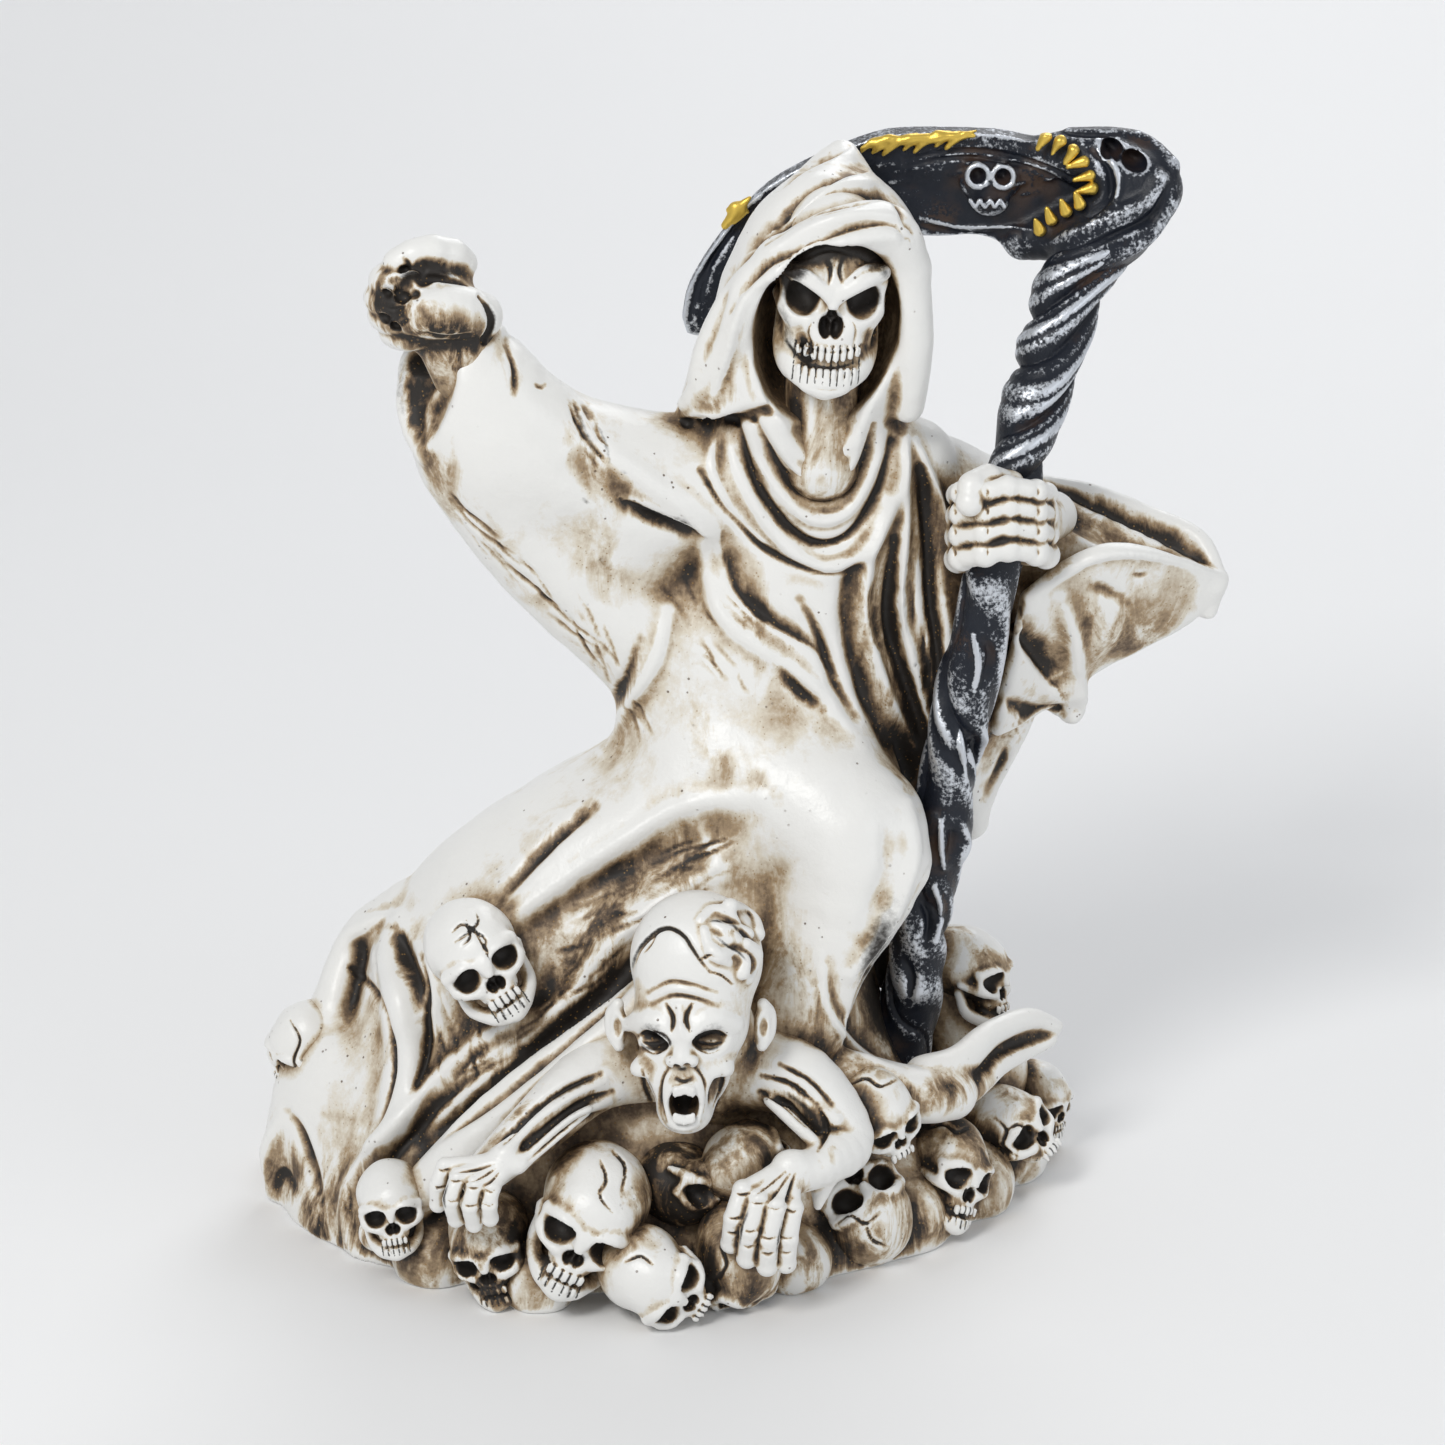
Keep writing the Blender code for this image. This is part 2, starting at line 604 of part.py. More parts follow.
def skull_spots():
    """Sockets and nose of every skull of the heap."""
    spots = []
    for centre, radius, face, roll, _ in SKULLS:
        at = skull_frame(centre, face, roll)
        for place, wide, deep in SKULL_HOLES:
            spots.append((at @ (Vector(place) * radius), wide * radius, deep * radius, -Vector(face)))
    return spots


def build_figure(collection, cutters):
    """Robe first, then its hollows, then what sits in them, and one skin over all of it."""
    robe = Clay()
    press_robe(robe)
    press_raised_sleeve(robe)
    press_staff_sleeve(robe)
    press_hood(robe)
    figure = robe.to_object("reaper_figure", collection)
    remesh(figure, ROUGH_VOXEL)
    soften(figure, 2)

    hollows = Clay()
    for hollow in (HOOD_HOLLOW, CUFF_HOLLOW, SLEEVE_HOLLOW):
        hollows.ball(*hollow)
    hollow = hollows.to_object("sleeve_and_hood_hollows", cutters)
    cut(figure, hollow)
    bake(figure)
    bpy.data.objects.remove(hollow)

    added = Clay()
    press_head(added)
    press_raised_fist(added)
    press_staff_fist(added)
    press_heap(added)
    press_crawler(added)
    extra = added.to_object("added", cutters)
    joined = bmesh.new()
    joined.from_mesh(figure.data)
    joined.from_mesh(extra.data)
    joined.to_mesh(figure.data)
    joined.free()
    bpy.data.objects.remove(extra)
    remesh(figure, CLAY_VOXEL)
    soften(figure, 2)
    press_spots(figure, (*skull_spots(), *FACE_SPOTS))
    draw_folds(figure, FOLDS)
    soften(figure, 1)
    heap = [(centre, 1.3 * radius) for centre, radius, face, _, _ in SKULLS if face[1] < 0]
    thin_out(figure, FIGURE_TRIANGLES, (*heap, *DETAILS))
    return figure


def thin_out(item, triangles, details):
    """Decimate to about this many triangles; what isn't near a detail gives up more."""
    place, normal = points_and_normals(item)
    weight = np.ones(len(place))
    for centre, reach in details:
        near = np.linalg.norm(place - np.array(centre, float), axis=1) < reach
        weight[near & (normal[:, 1] < 0.3)] = DETAIL_WEIGHT
    plain = item.vertex_groups.new(name="plain")
    for level in (1, DETAIL_WEIGHT):
        plain.add(np.nonzero(weight == level)[0].tolist(), level, "REPLACE")
    item.data.calc_loop_triangles()
    fewer = item.modifiers.new("fewer_faces", "DECIMATE")
    fewer.ratio = triangles / len(item.data.loop_triangles)
    fewer.vertex_group = plain.name
    fewer.vertex_group_factor = DETAIL_SHARE
    bake(item)


def shaft_rings(lobe, extra, sides):
    path = smooth_path(SHAFT, SHAFT_STEPS)
    return [ring_across(path, i, sides, lobe, SHAFT_TWIST * i, extra) for i in range(len(path))]


def blade_object():
    """Flat curve, filled and extruded, stood up in the plane y = BLADE_Y."""
    blade = bpy.data.curves.new("blade", "CURVE")
    blade.dimensions = "2D"
    blade.fill_mode = "BOTH"
    blade.extrude = BLADE_THICKNESS / 2
    spline = blade.splines.new("POLY")
    outline = [*smooth_path(BLADE_BACK, 3), *smooth_path(BLADE_EDGE, 3)]
    spline.points.add(len(outline) - 1)
    for point, (x, z) in zip(spline.points, outline):
        point.co = (x, z, 0, 1)
    spline.use_cyclic_u = True
    holder = bpy.data.objects.new("blade", blade)
    bpy.context.scene.collection.objects.link(holder)
    flat = bpy.data.objects.new("blade_flat", evaluated_mesh(holder))
    bpy.context.scene.collection.objects.link(flat)
    bpy.data.objects.remove(holder)
    stood = Matrix.Translation((0, BLADE_Y, 0)) @ Matrix.Rotation(math.radians(90), 4, "X")
    flat.data.transform(stood)
    return flat


def press_scythe(clay):
    clay.loft(shaft_rings(SHAFT_LOBE, 0, 18))
    # Beast skull at the crook: crown, upper jaw and lower jaw, which bite the blade
    clay.limb((75, 13, 199, 8), (80.5, 14, 203.5, 8.4), (83, 14, 207, 7))
    clay.limb((83.5, 14, 206, 7), (76, 15, 211.5, 6.4), (69, 16, 213, 5.4), (63, 16, 213, 4))
    clay.limb((78, 13, 200, 8), (68, 15, 197.5, 6), (59, 16, 195, 4))
    clay.add_object(blade_object())


SCYTHE_FOLDS = (
    (3, -1.6, ((60, 107), (68, 105), (72, 99), (66, 96), (60, 92))),
    (8, 1.2, ((53, 107), (54, 107))),
)
BEAST_EYE = ((78, 8, 213), 3.6, 3, (0, 1, 0))


def build_scythe(collection):
    clay = Clay()
    press_scythe(clay)
    scythe = clay.to_object("scythe", collection)
    remesh(scythe, SCYTHE_VOXEL)
    soften(scythe, 2)
    press_spots(scythe, (BEAST_EYE,))
    draw_folds(scythe, SCYTHE_FOLDS)
    thin_out(scythe, SCYTHE_TRIANGLES, ((BEAST_EYE[0], 3 * BEAST_EYE[1]),))
    return scythe


def shaft_cutter(cutters):
    """The shaft made fatter by its lobes and the fitting gap, longer at the foot."""
    clay = Clay()
    gap = FIT_GAP / UNIT
    margin = SHAFT_LOBE * max(station[3] for station in SHAFT) + gap
    rings = shaft_rings(0, margin, 12)
    below = [p - Vector((0, 0, gap)) for p in rings[0]]
    clay.loft([below, *rings])
    return clay.to_object("shaft_clearance", cutters)


def ground_cutter(cutters):
    """Box that cuts the underside flat at the ground."""
    box = bpy.data.meshes.new("ground")
    form = bmesh.new()
    size = Matrix.Diagonal((2 * STATUE_HEIGHT, 2 * STATUE_HEIGHT, STATUE_HEIGHT, 1))
    below = Matrix.Translation((0, 0, -STATUE_HEIGHT / 2))
    bmesh.ops.create_cube(form, size=1, matrix=below @ size)
    form.to_mesh(box)
    form.free()
    made = bpy.data.objects.new("ground", box)
    cutters.objects.link(made)
    return made


def main():
    clear_scene()
    parts = new_collection("reaper_statue")
    cutters = new_collection("cutters")
    figure = build_figure(parts, cutters)
    cut(figure, ground_cutter(cutters))
    cut(figure, shaft_cutter(cutters))
    figure.data.materials.append(plain_material("antiqued_white_resin", (0.86, 0.84, 0.80), 0.4, 0))
    scythe = build_scythe(parts)
    scythe.data.materials.append(plain_material("dark_silver_paint", (0.16, 0.17, 0.20), 0.38, 0.6))
    for item in (figure, scythe):
        item.data.shade_smooth()
        item.data.set_sharp_from_angle(angle=math.radians(50))


main()
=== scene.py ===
"""Looks of the robed skeleton statue: its carving and paint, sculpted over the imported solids."""

import math

import bpy
import numpy as np
import openvdb
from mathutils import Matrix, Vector


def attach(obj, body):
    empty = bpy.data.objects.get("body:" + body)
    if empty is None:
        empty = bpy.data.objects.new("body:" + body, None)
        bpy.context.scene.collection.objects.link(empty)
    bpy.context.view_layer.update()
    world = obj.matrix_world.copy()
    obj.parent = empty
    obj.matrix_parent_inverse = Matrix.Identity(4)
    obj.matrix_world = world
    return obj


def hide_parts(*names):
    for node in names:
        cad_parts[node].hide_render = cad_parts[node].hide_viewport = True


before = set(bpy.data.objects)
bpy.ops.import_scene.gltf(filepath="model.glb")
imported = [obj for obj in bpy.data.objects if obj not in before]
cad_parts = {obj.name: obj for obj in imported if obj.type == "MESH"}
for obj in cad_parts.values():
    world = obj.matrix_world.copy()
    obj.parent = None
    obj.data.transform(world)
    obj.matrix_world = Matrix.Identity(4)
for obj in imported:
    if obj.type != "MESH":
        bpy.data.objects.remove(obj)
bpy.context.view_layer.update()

# Everything is sculpted in millimetres and scaled to metres when its object is made
MM = 0.001
FAR = 50.0

# Spacing of each grid in millimetres, and of the unit skull's in shares of its radius
ROBE_VOXEL = 0.56
SHAFT_VOXEL = 0.48
LARGE_VOXEL = 0.42
NECK_VOXEL = 0.42
SMALL_VOXEL = 0.36
NEAR_SKULL_VOXEL = 0.046
SIDE_SKULL_VOXEL = 0.05
BACK_SKULL_VOXEL = 0.09
HOODED_SKULL_VOXEL = 0.026
# What comes lowest stays this far above the floor
GROUND = 0.02

# The photograph's camera: folds and paint are placed by the picture point that shows them
PICTURE = 1445
MIDDLE = PICTURE / 2
TILT = math.radians(20)
DISTANCE = 1000.0
FOCUS = 5000.0
AIM = 100.3
AWAY = np.array((0, math.cos(TILT), -math.sin(TILT)))
UP = np.array((0, math.sin(TILT), math.cos(TILT)))
EYE = np.array((0, 0, AIM)) - DISTANCE * AWAY


def seen(points):
    """Picture points (right, down) of places in millimetres."""
    offset = points - EYE
    depth = offset @ AWAY
    return np.column_stack(
        [MIDDLE + FOCUS * offset[:, 0] / depth, MIDDLE - FOCUS * (offset @ UP) / depth]
    )


def at(px, py, y):
    """Place in millimetres, at depth y, that shows at a picture point."""
    ray = AWAY + UP * (MIDDLE - py) / FOCUS
    t = (y - EYE[1]) / ray[1]
    return (t * (px - MIDDLE) / FOCUS, y, EYE[2] + t * ray[2])


def facing_camera(normals):
    """1 where the surface faces the photograph's camera, falling to 0 at its outline."""
    return np.clip(-(normals @ AWAY) * 2.5, 0, 1)


def smooth_path(points, steps):
    """Catmull-Rom curve through rows of numbers."""
    rows = np.array(points, float)
    ends = np.vstack([2 * rows[0] - rows[1], rows, 2 * rows[-1] - rows[-2]])
    found = []
    for i in range(1, len(ends) - 2):
        a, b, c, d = ends[i - 1 : i + 3]
        for k in range(steps):
            t = k / steps
            bend = (2 * a - 5 * b + 4 * c - d) * t**2 + (3 * b - a - 3 * c + d) * t**3
            found.append(0.5 * (2 * b + (c - a) * t + bend))
    found.append(rows[-1])
    return np.array(found)


def turned(turn):
    """Rotation matrix from degrees about X, then Y, then Z."""
    a, b, c = (math.radians(t) for t in turn)
    rx = np.array(((1, 0, 0), (0, math.cos(a), -math.sin(a)), (0, math.sin(a), math.cos(a))))
    ry = np.array(((math.cos(b), 0, math.sin(b)), (0, 1, 0), (-math.sin(b), 0, math.cos(b))))
    rz = np.array(((math.cos(c), -math.sin(c), 0), (math.sin(c), math.cos(c), 0), (0, 0, 1)))
    return rz @ ry @ rx


def smooth_min(a, b, k):
    if k <= 0:
        return np.minimum(a, b)
    h = np.clip(0.5 + 0.5 * (b - a) / k, 0, 1)
    return b + (a - b) * h - k * h * (1 - h)


class Field:
    """Distance field on a grid, in millimetres: forms are blended in and carved out."""

    def __init__(self, low, high, voxel):
        self.low, self.voxel = np.array(low, float), voxel
        count = np.ceil((np.array(high) - self.low) / voxel).astype(int) + 1
        self.axes = [
            (self.low[i] + voxel * np.arange(count[i])).astype(np.float32) for i in range(3)
        ]
        self.d = np.full(count, FAR, np.float32)

    def window(self, low, high, pad):
        spans = []
        for i in range(3):
            a = math.floor((low[i] - pad - self.low[i]) / self.voxel)
            b = math.ceil((high[i] + pad - self.low[i]) / self.voxel) + 1
            size = len(self.axes[i])
            spans.append(slice(min(max(a, 0), size), min(max(b, 0), size)))
        x, y, z = (self.axes[i][spans[i]] for i in range(3))
        return tuple(spans), x[:, None, None], y[None, :, None], z[None, None, :]

    def press(self, spans, new, blend, carve):
        old = self.d[spans]
        self.d[spans] = -smooth_min(-old, new, blend) if carve else smooth_min(old, new, blend)

    def ball(self, centre, radii, turn=(0, 0, 0), blend=1.0, carve=False):
        size = np.array(radii if hasattr(radii, "__len__") else (radii,) * 3, float)
        reach = max(size)
        centre = np.array(centre, float)
        spans, x, y, z = self.window(centre - reach, centre + reach, blend + 3 * self.voxel)
        m = turned(turn).T
        x, y, z = x - centre[0], y - centre[1], z - centre[2]
        local = [m[i, 0] * x + m[i, 1] * y + m[i, 2] * z for i in range(3)]
        near = np.sqrt(sum((local[i] / size[i]) ** 2 for i in range(3)))
        steep = np.sqrt(sum((local[i] / size[i] ** 2) ** 2 for i in range(3)))
        new = near * (near - 1) / np.maximum(steep, 1e-6)
        self.press(spans, new.astype(np.float32), blend, carve)

    def limb(self, *stations, blend=1.0, steps=4, carve=False):
        """Round tube through stations (x, y, z, radius)."""
        path = smooth_path(stations, steps)
        pad = blend + 3 * self.voxel
        low = (path[:, :3] - path[:, 3:]).min(axis=0)
        high = (path[:, :3] + path[:, 3:]).max(axis=0)
        spans = self.window(low, high, pad)[0]
        new = np.full([s.stop - s.start for s in spans], FAR, np.float32)
        for a, b in zip(path, path[1:]):
            lo = np.minimum(a[:3] - a[3], b[:3] - b[3])
            hi = np.maximum(a[:3] + a[3], b[:3] + b[3])
            part, x, y, z = self.window(lo, hi, pad)
            inner = tuple(slice(p.start - s.start, p.stop - s.start) for p, s in zip(part, spans))
            step = b[:3] - a[:3]
            long = max(step @ step, 1e-9)
            x, y, z = x - a[0], y - a[1], z - a[2]
            t = np.clip((x * step[0] + y * step[1] + z * step[2]) / long, 0, 1)
            gap = (x - t * step[0]) ** 2 + (y - t * step[1]) ** 2 + (z - t * step[2]) ** 2
            gap = np.sqrt(gap) - (a[3] + t * (b[3] - a[3]))
            new[inner] = np.minimum(new[inner], gap)
        self.press(spans, new, blend, carve)

    def dots(self, points, radius, blend=0.0, carve=False):
        """Many small balls of one radius, close together: cloth and cords."""
        low, high = points.min(axis=0) - radius, points.max(axis=0) + radius
        spans = self.window(low, high, blend + 3 * self.voxel)[0]
        size = [s.stop - s.start for s in spans]
        new = np.full(size, FAR, np.float32)
        start = self.low + self.voxel * np.array([s.start for s in spans])
        reach = math.ceil((radius + blend + 2 * self.voxel) / self.voxel)
        steps = np.arange(-reach, reach + 1)
        offsets = np.stack(np.meshgrid(steps, steps, steps, indexing="ij"), -1).reshape(-1, 3)
        base = np.round((points - start) / self.voxel).astype(int)
        flat = new.ravel()
        for offset in offsets:
            cell = base + offset
            fits = ((cell >= 0) & (cell < size)).all(axis=1)
            cell = cell[fits]
            gap = np.linalg.norm(start + cell * self.voxel - points[fits], axis=1) - radius
            np.minimum.at(flat, np.ravel_multi_index(cell.T, size), gap.astype(np.float32))
        self.press(spans, new, blend, carve)

    def cloth(self, rows, thickness, blend=1.0):
        """Cloth through rows of points."""
        steps = 30
        along = [smooth_path(row, steps) for row in rows]
        across = [smooth_path([row[k] for row in along], steps) for k in range(len(along[0]))]
        self.dots(np.vstack(across), thickness / 2, blend)

    def on(self, px, py, *rest, sink=0.0):
        """Station where the form lies behind a picture point, pushed in by sink."""
        depths = np.arange(self.low[1], self.axes[1][-1], 0.2)
        spots = np.array([at(px, py, y) for y in depths])
        cells = np.round((spots - self.low) / self.voxel).astype(int)
        fits = ((cells >= 0) & (cells < self.d.shape)).all(axis=1)
        value = np.full(len(depths), FAR)
        value[fits] = self.d[tuple(cells[fits].T)]
        first = np.argmax(value < 0) if (value < 0).any() else np.argmin(value)
        return (*at(px, py, depths[first] + sink), *rest)

    def route(self, spots, sink):
        """Stations on the form behind picture spots (right, down, radius)."""
        return [self.on(px, py, r, sink=sink) for px, py, r in spots]

    def behind(self, x, z, *rest, sink=0.0):
        """Station on the form's back at this x and z, pushed in by sink."""
        i, k = (round((v - self.low[axis]) / self.voxel) for v, axis in ((x, 0), (z, 2)))
        inside = np.flatnonzero(self.d[i, :, k] < 0)
        y = self.axes[1][inside[-1]] if len(inside) else 0.0
        return (x, y - sink, z, *rest)

    def flat_below(self, z):
        new = z - self.axes[2][None, None, :]
        self.d = np.maximum(self.d, new)

    def skin(self):
        grid = openvdb.FloatGrid(3 * self.voxel)
        grid.copyFromArray(np.clip(self.d, -3 * self.voxel, 3 * self.voxel))
        points, _, quads = grid.convertToPolygons(isovalue=0.0, adaptivity=0.0)
        return Skin(points * self.voxel + self.low, quads.astype(np.int32))


class Skin:
    """Surface of four-sided faces, whose points are moved and painted."""

    def __init__(self, points, faces):
        self.points, self.faces = np.array(points, float), faces
        self.paint = {}

    def normals(self):
        a, b, c, d = (self.points[self.faces[:, i]] for i in range(4))
        flat = np.cross(c - a, d - b)
        found = np.zeros_like(self.points)
        for axis in range(3):
            for i in range(4):
                found[:, axis] += np.bincount(self.faces[:, i], flat[:, axis], len(self.points))
        return found / np.maximum(np.linalg.norm(found, axis=1), 1e-9)[:, None]

    def averaged(self, values, times=1):
        """Values of each point averaged with its neighbours'."""
        ends = np.concatenate([self.faces[:, [i, (i + 1) % 4]] for i in range(4)])
        a, b = ends[:, 0], ends[:, 1]
        count = np.bincount(a, minlength=len(self.points)) + np.bincount(b, minlength=len(self.points))
        values = values.reshape(len(self.points), -1).astype(float)
        for _ in range(times):
            total = np.empty_like(values)
            for k in range(values.shape[1]):
                total[:, k] = np.bincount(a, values[b, k], len(values)) + np.bincount(
                    b, values[a, k], len(values)
                )
            values = 0.5 * values + 0.5 * total / np.maximum(count, 1)[:, None]
        return values

    def soften(self, times):
        self.points = self.averaged(self.points, times)

    def strokes(self, lines, facing):
        """Sum of the strokes (width, height, lean, picture points) at each point.

        Width is in picture points. A lean of 1 makes the side right of the path steep, -1 the left.
        """
        flat = seen(self.points)
        push = np.zeros(len(flat))
        for width, height, lean, points in lines:
            path = smooth_path(points, 6)
            inside = (flat > path.min(axis=0) - 2 * width) & (flat < path.max(axis=0) + 2 * width)
            close = np.nonzero(inside.all(axis=1) & (facing > 0))[0]
            spots = flat[close]
            nearest, share, side = (np.full(len(close), v) for v in (1e9, 0.0, 0.0))
            for k in range(len(path) - 1):
                start, step = path[k], path[k + 1] - path[k]
                offset = spots - start
                t = np.clip((offset @ step) / (step @ step), 0, 1)
                gap = np.linalg.norm(offset - t[:, None] * step, axis=1)
                closer = gap < nearest
                share[closer] = (k + t[closer]) / (len(path) - 1)
                side[closer] = np.sign(step[0] * offset[closer, 1] - step[1] * offset[closer, 0])
                nearest = np.minimum(nearest, gap)
            taper = np.sqrt(np.sin(np.pi * np.clip(share, 0.04, 0.96)))
            wide = 0.5 * width * np.where(side * lean > 0, 1 - 0.7 * abs(lean), 1 + 0.5 * abs(lean))
            push[close] += height * taper * np.exp(-((nearest / wide) ** 2))
        return push

    def draw(self, lines):
        """Raises or sinks the surface along strokes."""
        normals = self.normals()
        facing = facing_camera(normals)
        self.points = self.points + normals * (self.strokes(lines, facing) * facing)[:, None]

    def wash(self, lines, key="wash"):
        """Brown wash, black ink and painted shade along strokes."""
        facing = facing_camera(self.normals())
        old = self.paint.get(key, np.zeros(len(self.points)))
        self.paint[key] = old + self.strokes(lines, facing) * facing

    def crack(self, lines):
        """Thin grooves filled with ink."""
        self.draw(lines)
        self.wash([(0.9 * width, 0.9, lean, points) for width, _, lean, points in lines], "ink")

    def moved(self, matrix, shift):
        found = Skin(self.points @ np.array(matrix, float).T + np.array(shift, float), self.faces)
        found.paint = dict(self.paint)
        return found


def scratches(seed, count, start, end, spread, length, width, height):
    """Short strokes strewn along a line of the picture."""
    chance = np.random.default_rng(seed)
    start, end = np.array(start, float), np.array(end, float)
    way = (end - start) / np.linalg.norm(end - start)
    across = np.array((-way[1], way[0]))
    found = []
    for _ in range(count):
        middle = start + chance.uniform(0, 1) * (end - start) + chance.uniform(-spread, spread) * across
        half = 0.5 * length * chance.uniform(0.5, 1.2) * (way + 0.2 * chance.uniform(-1, 1) * across)
        bend = middle + 0.06 * length * chance.uniform(-1, 1) * across
        found.append((width, height * chance.uniform(0.5, 1), 0, (middle - half, bend, middle + half)))
    return found


def joined(skins):
    points, faces, start = [], [], 0
    for skin in skins:
        points.append(skin.points)
        faces.append(skin.faces + start)
        start += len(skin.points)
    whole = Skin(np.vstack(points), np.vstack(faces))
    for key in sorted({key for skin in skins for key in skin.paint}):
        whole.paint[key] = np.concatenate(
            [skin.paint.get(key, np.zeros(len(skin.points))) for skin in skins]
        )
    return whole


# Robe: (z, centre x, centre y, half width, half depth) of each level
ROBE_LEVELS = (
    (-3, -18, -3, 74, 52),
    (10, -18, -3, 71, 50),
    (24, -20, -3, 63, 46),
    (40, -21, -3, 54, 39),
    (55, -20, -3, 50, 33),
    (66, -16, -3, 48, 30),
    (76, -10, -3, 45, 28),
    (85, -3, -3, 39, 26),
    (96, 6, -2, 30, 22),
    (106, 8, -1, 28, 20),
    (120, 10, 0, 26, 18.5),
    (134, 13, 1, 26, 18),
    (147, 16, 1, 26, 17),
    (157, 17.5, 0, 23, 15),
    (165, 18, -1, 16, 12),
    (170, 18.5, -2, 9, 9),
)


def robe_body(field):
    levels = smooth_path(ROBE_LEVELS, 6)
    z = field.axes[2]
    cx, cy, wide, deep = (
        np.interp(z, levels[:, 0], levels[:, i])[None, None, :].astype(np.float32) for i in (1, 2, 3, 4)
    )
    x, y = field.axes[0][:, None, None] - cx, field.axes[1][None, :, None] - cy
    angle = np.arctan2(y / deep, x / wide)
    back = np.clip(np.sin(angle), 0, 1)
    fold = 1 + 0.05 * back * np.cos(7 * angle + z[None, None, :] / 50)
    near = np.sqrt((x / wide) ** 2 + (y / deep) ** 2)
    steep = np.sqrt((x / wide**2) ** 2 + (y / deep**2) ** 2) / np.maximum(near, 1e-6)
    new = (near - fold) / np.maximum(steep, 1e-6)
    new = np.maximum(new, z[None, None, :] - 170)
    field.d = np.minimum(field.d, new.astype(np.float32))


# Stations by the picture: (right, down, y in mm, radius in mm)
TAIL_TOP = (
    *((925, 1075, -24, 4.2), (958, 1062, -20, 3.6), (990, 1034, -12, 2.9)),
    *((1028, 1019, -4, 2.4), (1056, 1026, 0, 1.5)),
)
TAIL_UNDER = (
    *((930, 1098, -25, 3.6), (966, 1092, -21, 3.0), (998, 1066, -13, 2.3)),
    *((1030, 1050, -5, 1.8), (1052, 1040, -1, 1.2)),
)
TAIL_SHEET = (
    ((930, 1080, -22), (965, 1066, -18), (995, 1040, -10), (1030, 1024, -3), (1054, 1028, 1)),
    ((935, 1100, -21), (968, 1090, -17), (1000, 1064, -9), (1032, 1048, -2), (1052, 1040, 1)),
)
HANGING_CLOTH = ((1005, 690, 8, 8), (1000, 730, 9, 5.6), (985, 775, 10, 4), (972, 815, 10, 2.2))
HOOD_CORNER = (
    ((700, 350, -8), (716, 345, -15), (736, 335, -19)),
    ((690, 385, -7), (708, 382, -15), (740, 372, -19)),
    ((682, 413, -6), (706, 415, -15), (748, 400, -19)),
)
HEM_END = ((880, 424, -22, 1.5), (905, 428, -19, 1.7))
FAR_LIP = (
    *((420, 345, -8, 1.3), (407, 360, -9, 1.4), (405, 390, -11, 1.5)),
    *((411, 425, -14, 1.6), (424, 455, -18, 1.8)),
)
# Stations on the form: (right, down, radius in mm)
HOOD_HEM = ((686, 423, 1.2), (704, 422, 1.2), (728, 420, 1.2), (752, 416, 1.2), (772, 409, 1.2))
NEAR_LIP = ((499, 330, 1.1), (482, 354, 1.1), (453, 380, 1.1), (436, 404, 1.1), (432, 434, 1.1))


def add_lap_and_train(f):
    """Lap, trailing cloth, cape and the tail of cloth at the right."""
    # Bent knee, thigh and shin under the cloth
    f.limb((0, -8, 96, 16), (24, -20, 84, 16.5), (20, -26, 62, 13.5), (10, -30, 44, 11.5), blend=5)
    # Outstretched leg and the long folds that run to the lower left
    f.limb((2, -10, 92, 14.5), (-24, -18, 76, 11.5), (-46, -24, 60, 9.5), (-60, -22, 48, 7.5), blend=5)
    f.limb(
        (4, -24, 70, 7), (-6, -34, 61, 6.2), (-20, -40, 52, 5.5), (-44, -44, 34, 5), (-60, -46, 18, 4.6),
        (-68, -42, 8, 4), blend=3,
    )
    # Trailing cloth at the left corner, with its curled top edge
    f.limb(
        (-64, 0, 60, 5.6), (-74, 2, 53, 3.8), (-80, -4, 38, 4.6), (-88.2, -8, 14, 4.8), (-90, -9, 2, 3.6),
        blend=3,
    )
    f.limb((-62, -10, 58, 5.6), (-62, -22, 44, 4.8), (-63, -32, 26, 5.6), (-66, -36, 10, 5.6), blend=3)
    f.ball((-77, -5, 18), (14.5, 16.5, 21.5), blend=4)
    # Cape that runs down the back
    f.limb(
        (16, 8, 158, 11.5), (12, 18, 120, 11.5), (2, 24, 84, 15.5), (-10, 34, 40, 17.5),
        (-14, 40, 8, 13.5), blend=5,
    )
    # Hollow at the foot of the shaft
    f.limb(
        (44, -27, 74, 6.5), (37.5, -30, 60, 11), (35.5, -30, 47, 12), (38, -30, 38, 9), blend=1.5,
        carve=True,
    )
    # Tail of cloth that curls up at the right of the heap
    f.limb((24, -32, 37, 5.6), (38, -29, 32, 5.6), (46, -24, 30, 5.2), blend=2)
    f.limb(*pics(TAIL_TOP), blend=1.5)
    f.limb(*pics(TAIL_UNDER), blend=1)
    f.cloth([pics(row) for row in TAIL_SHEET], 2.4)


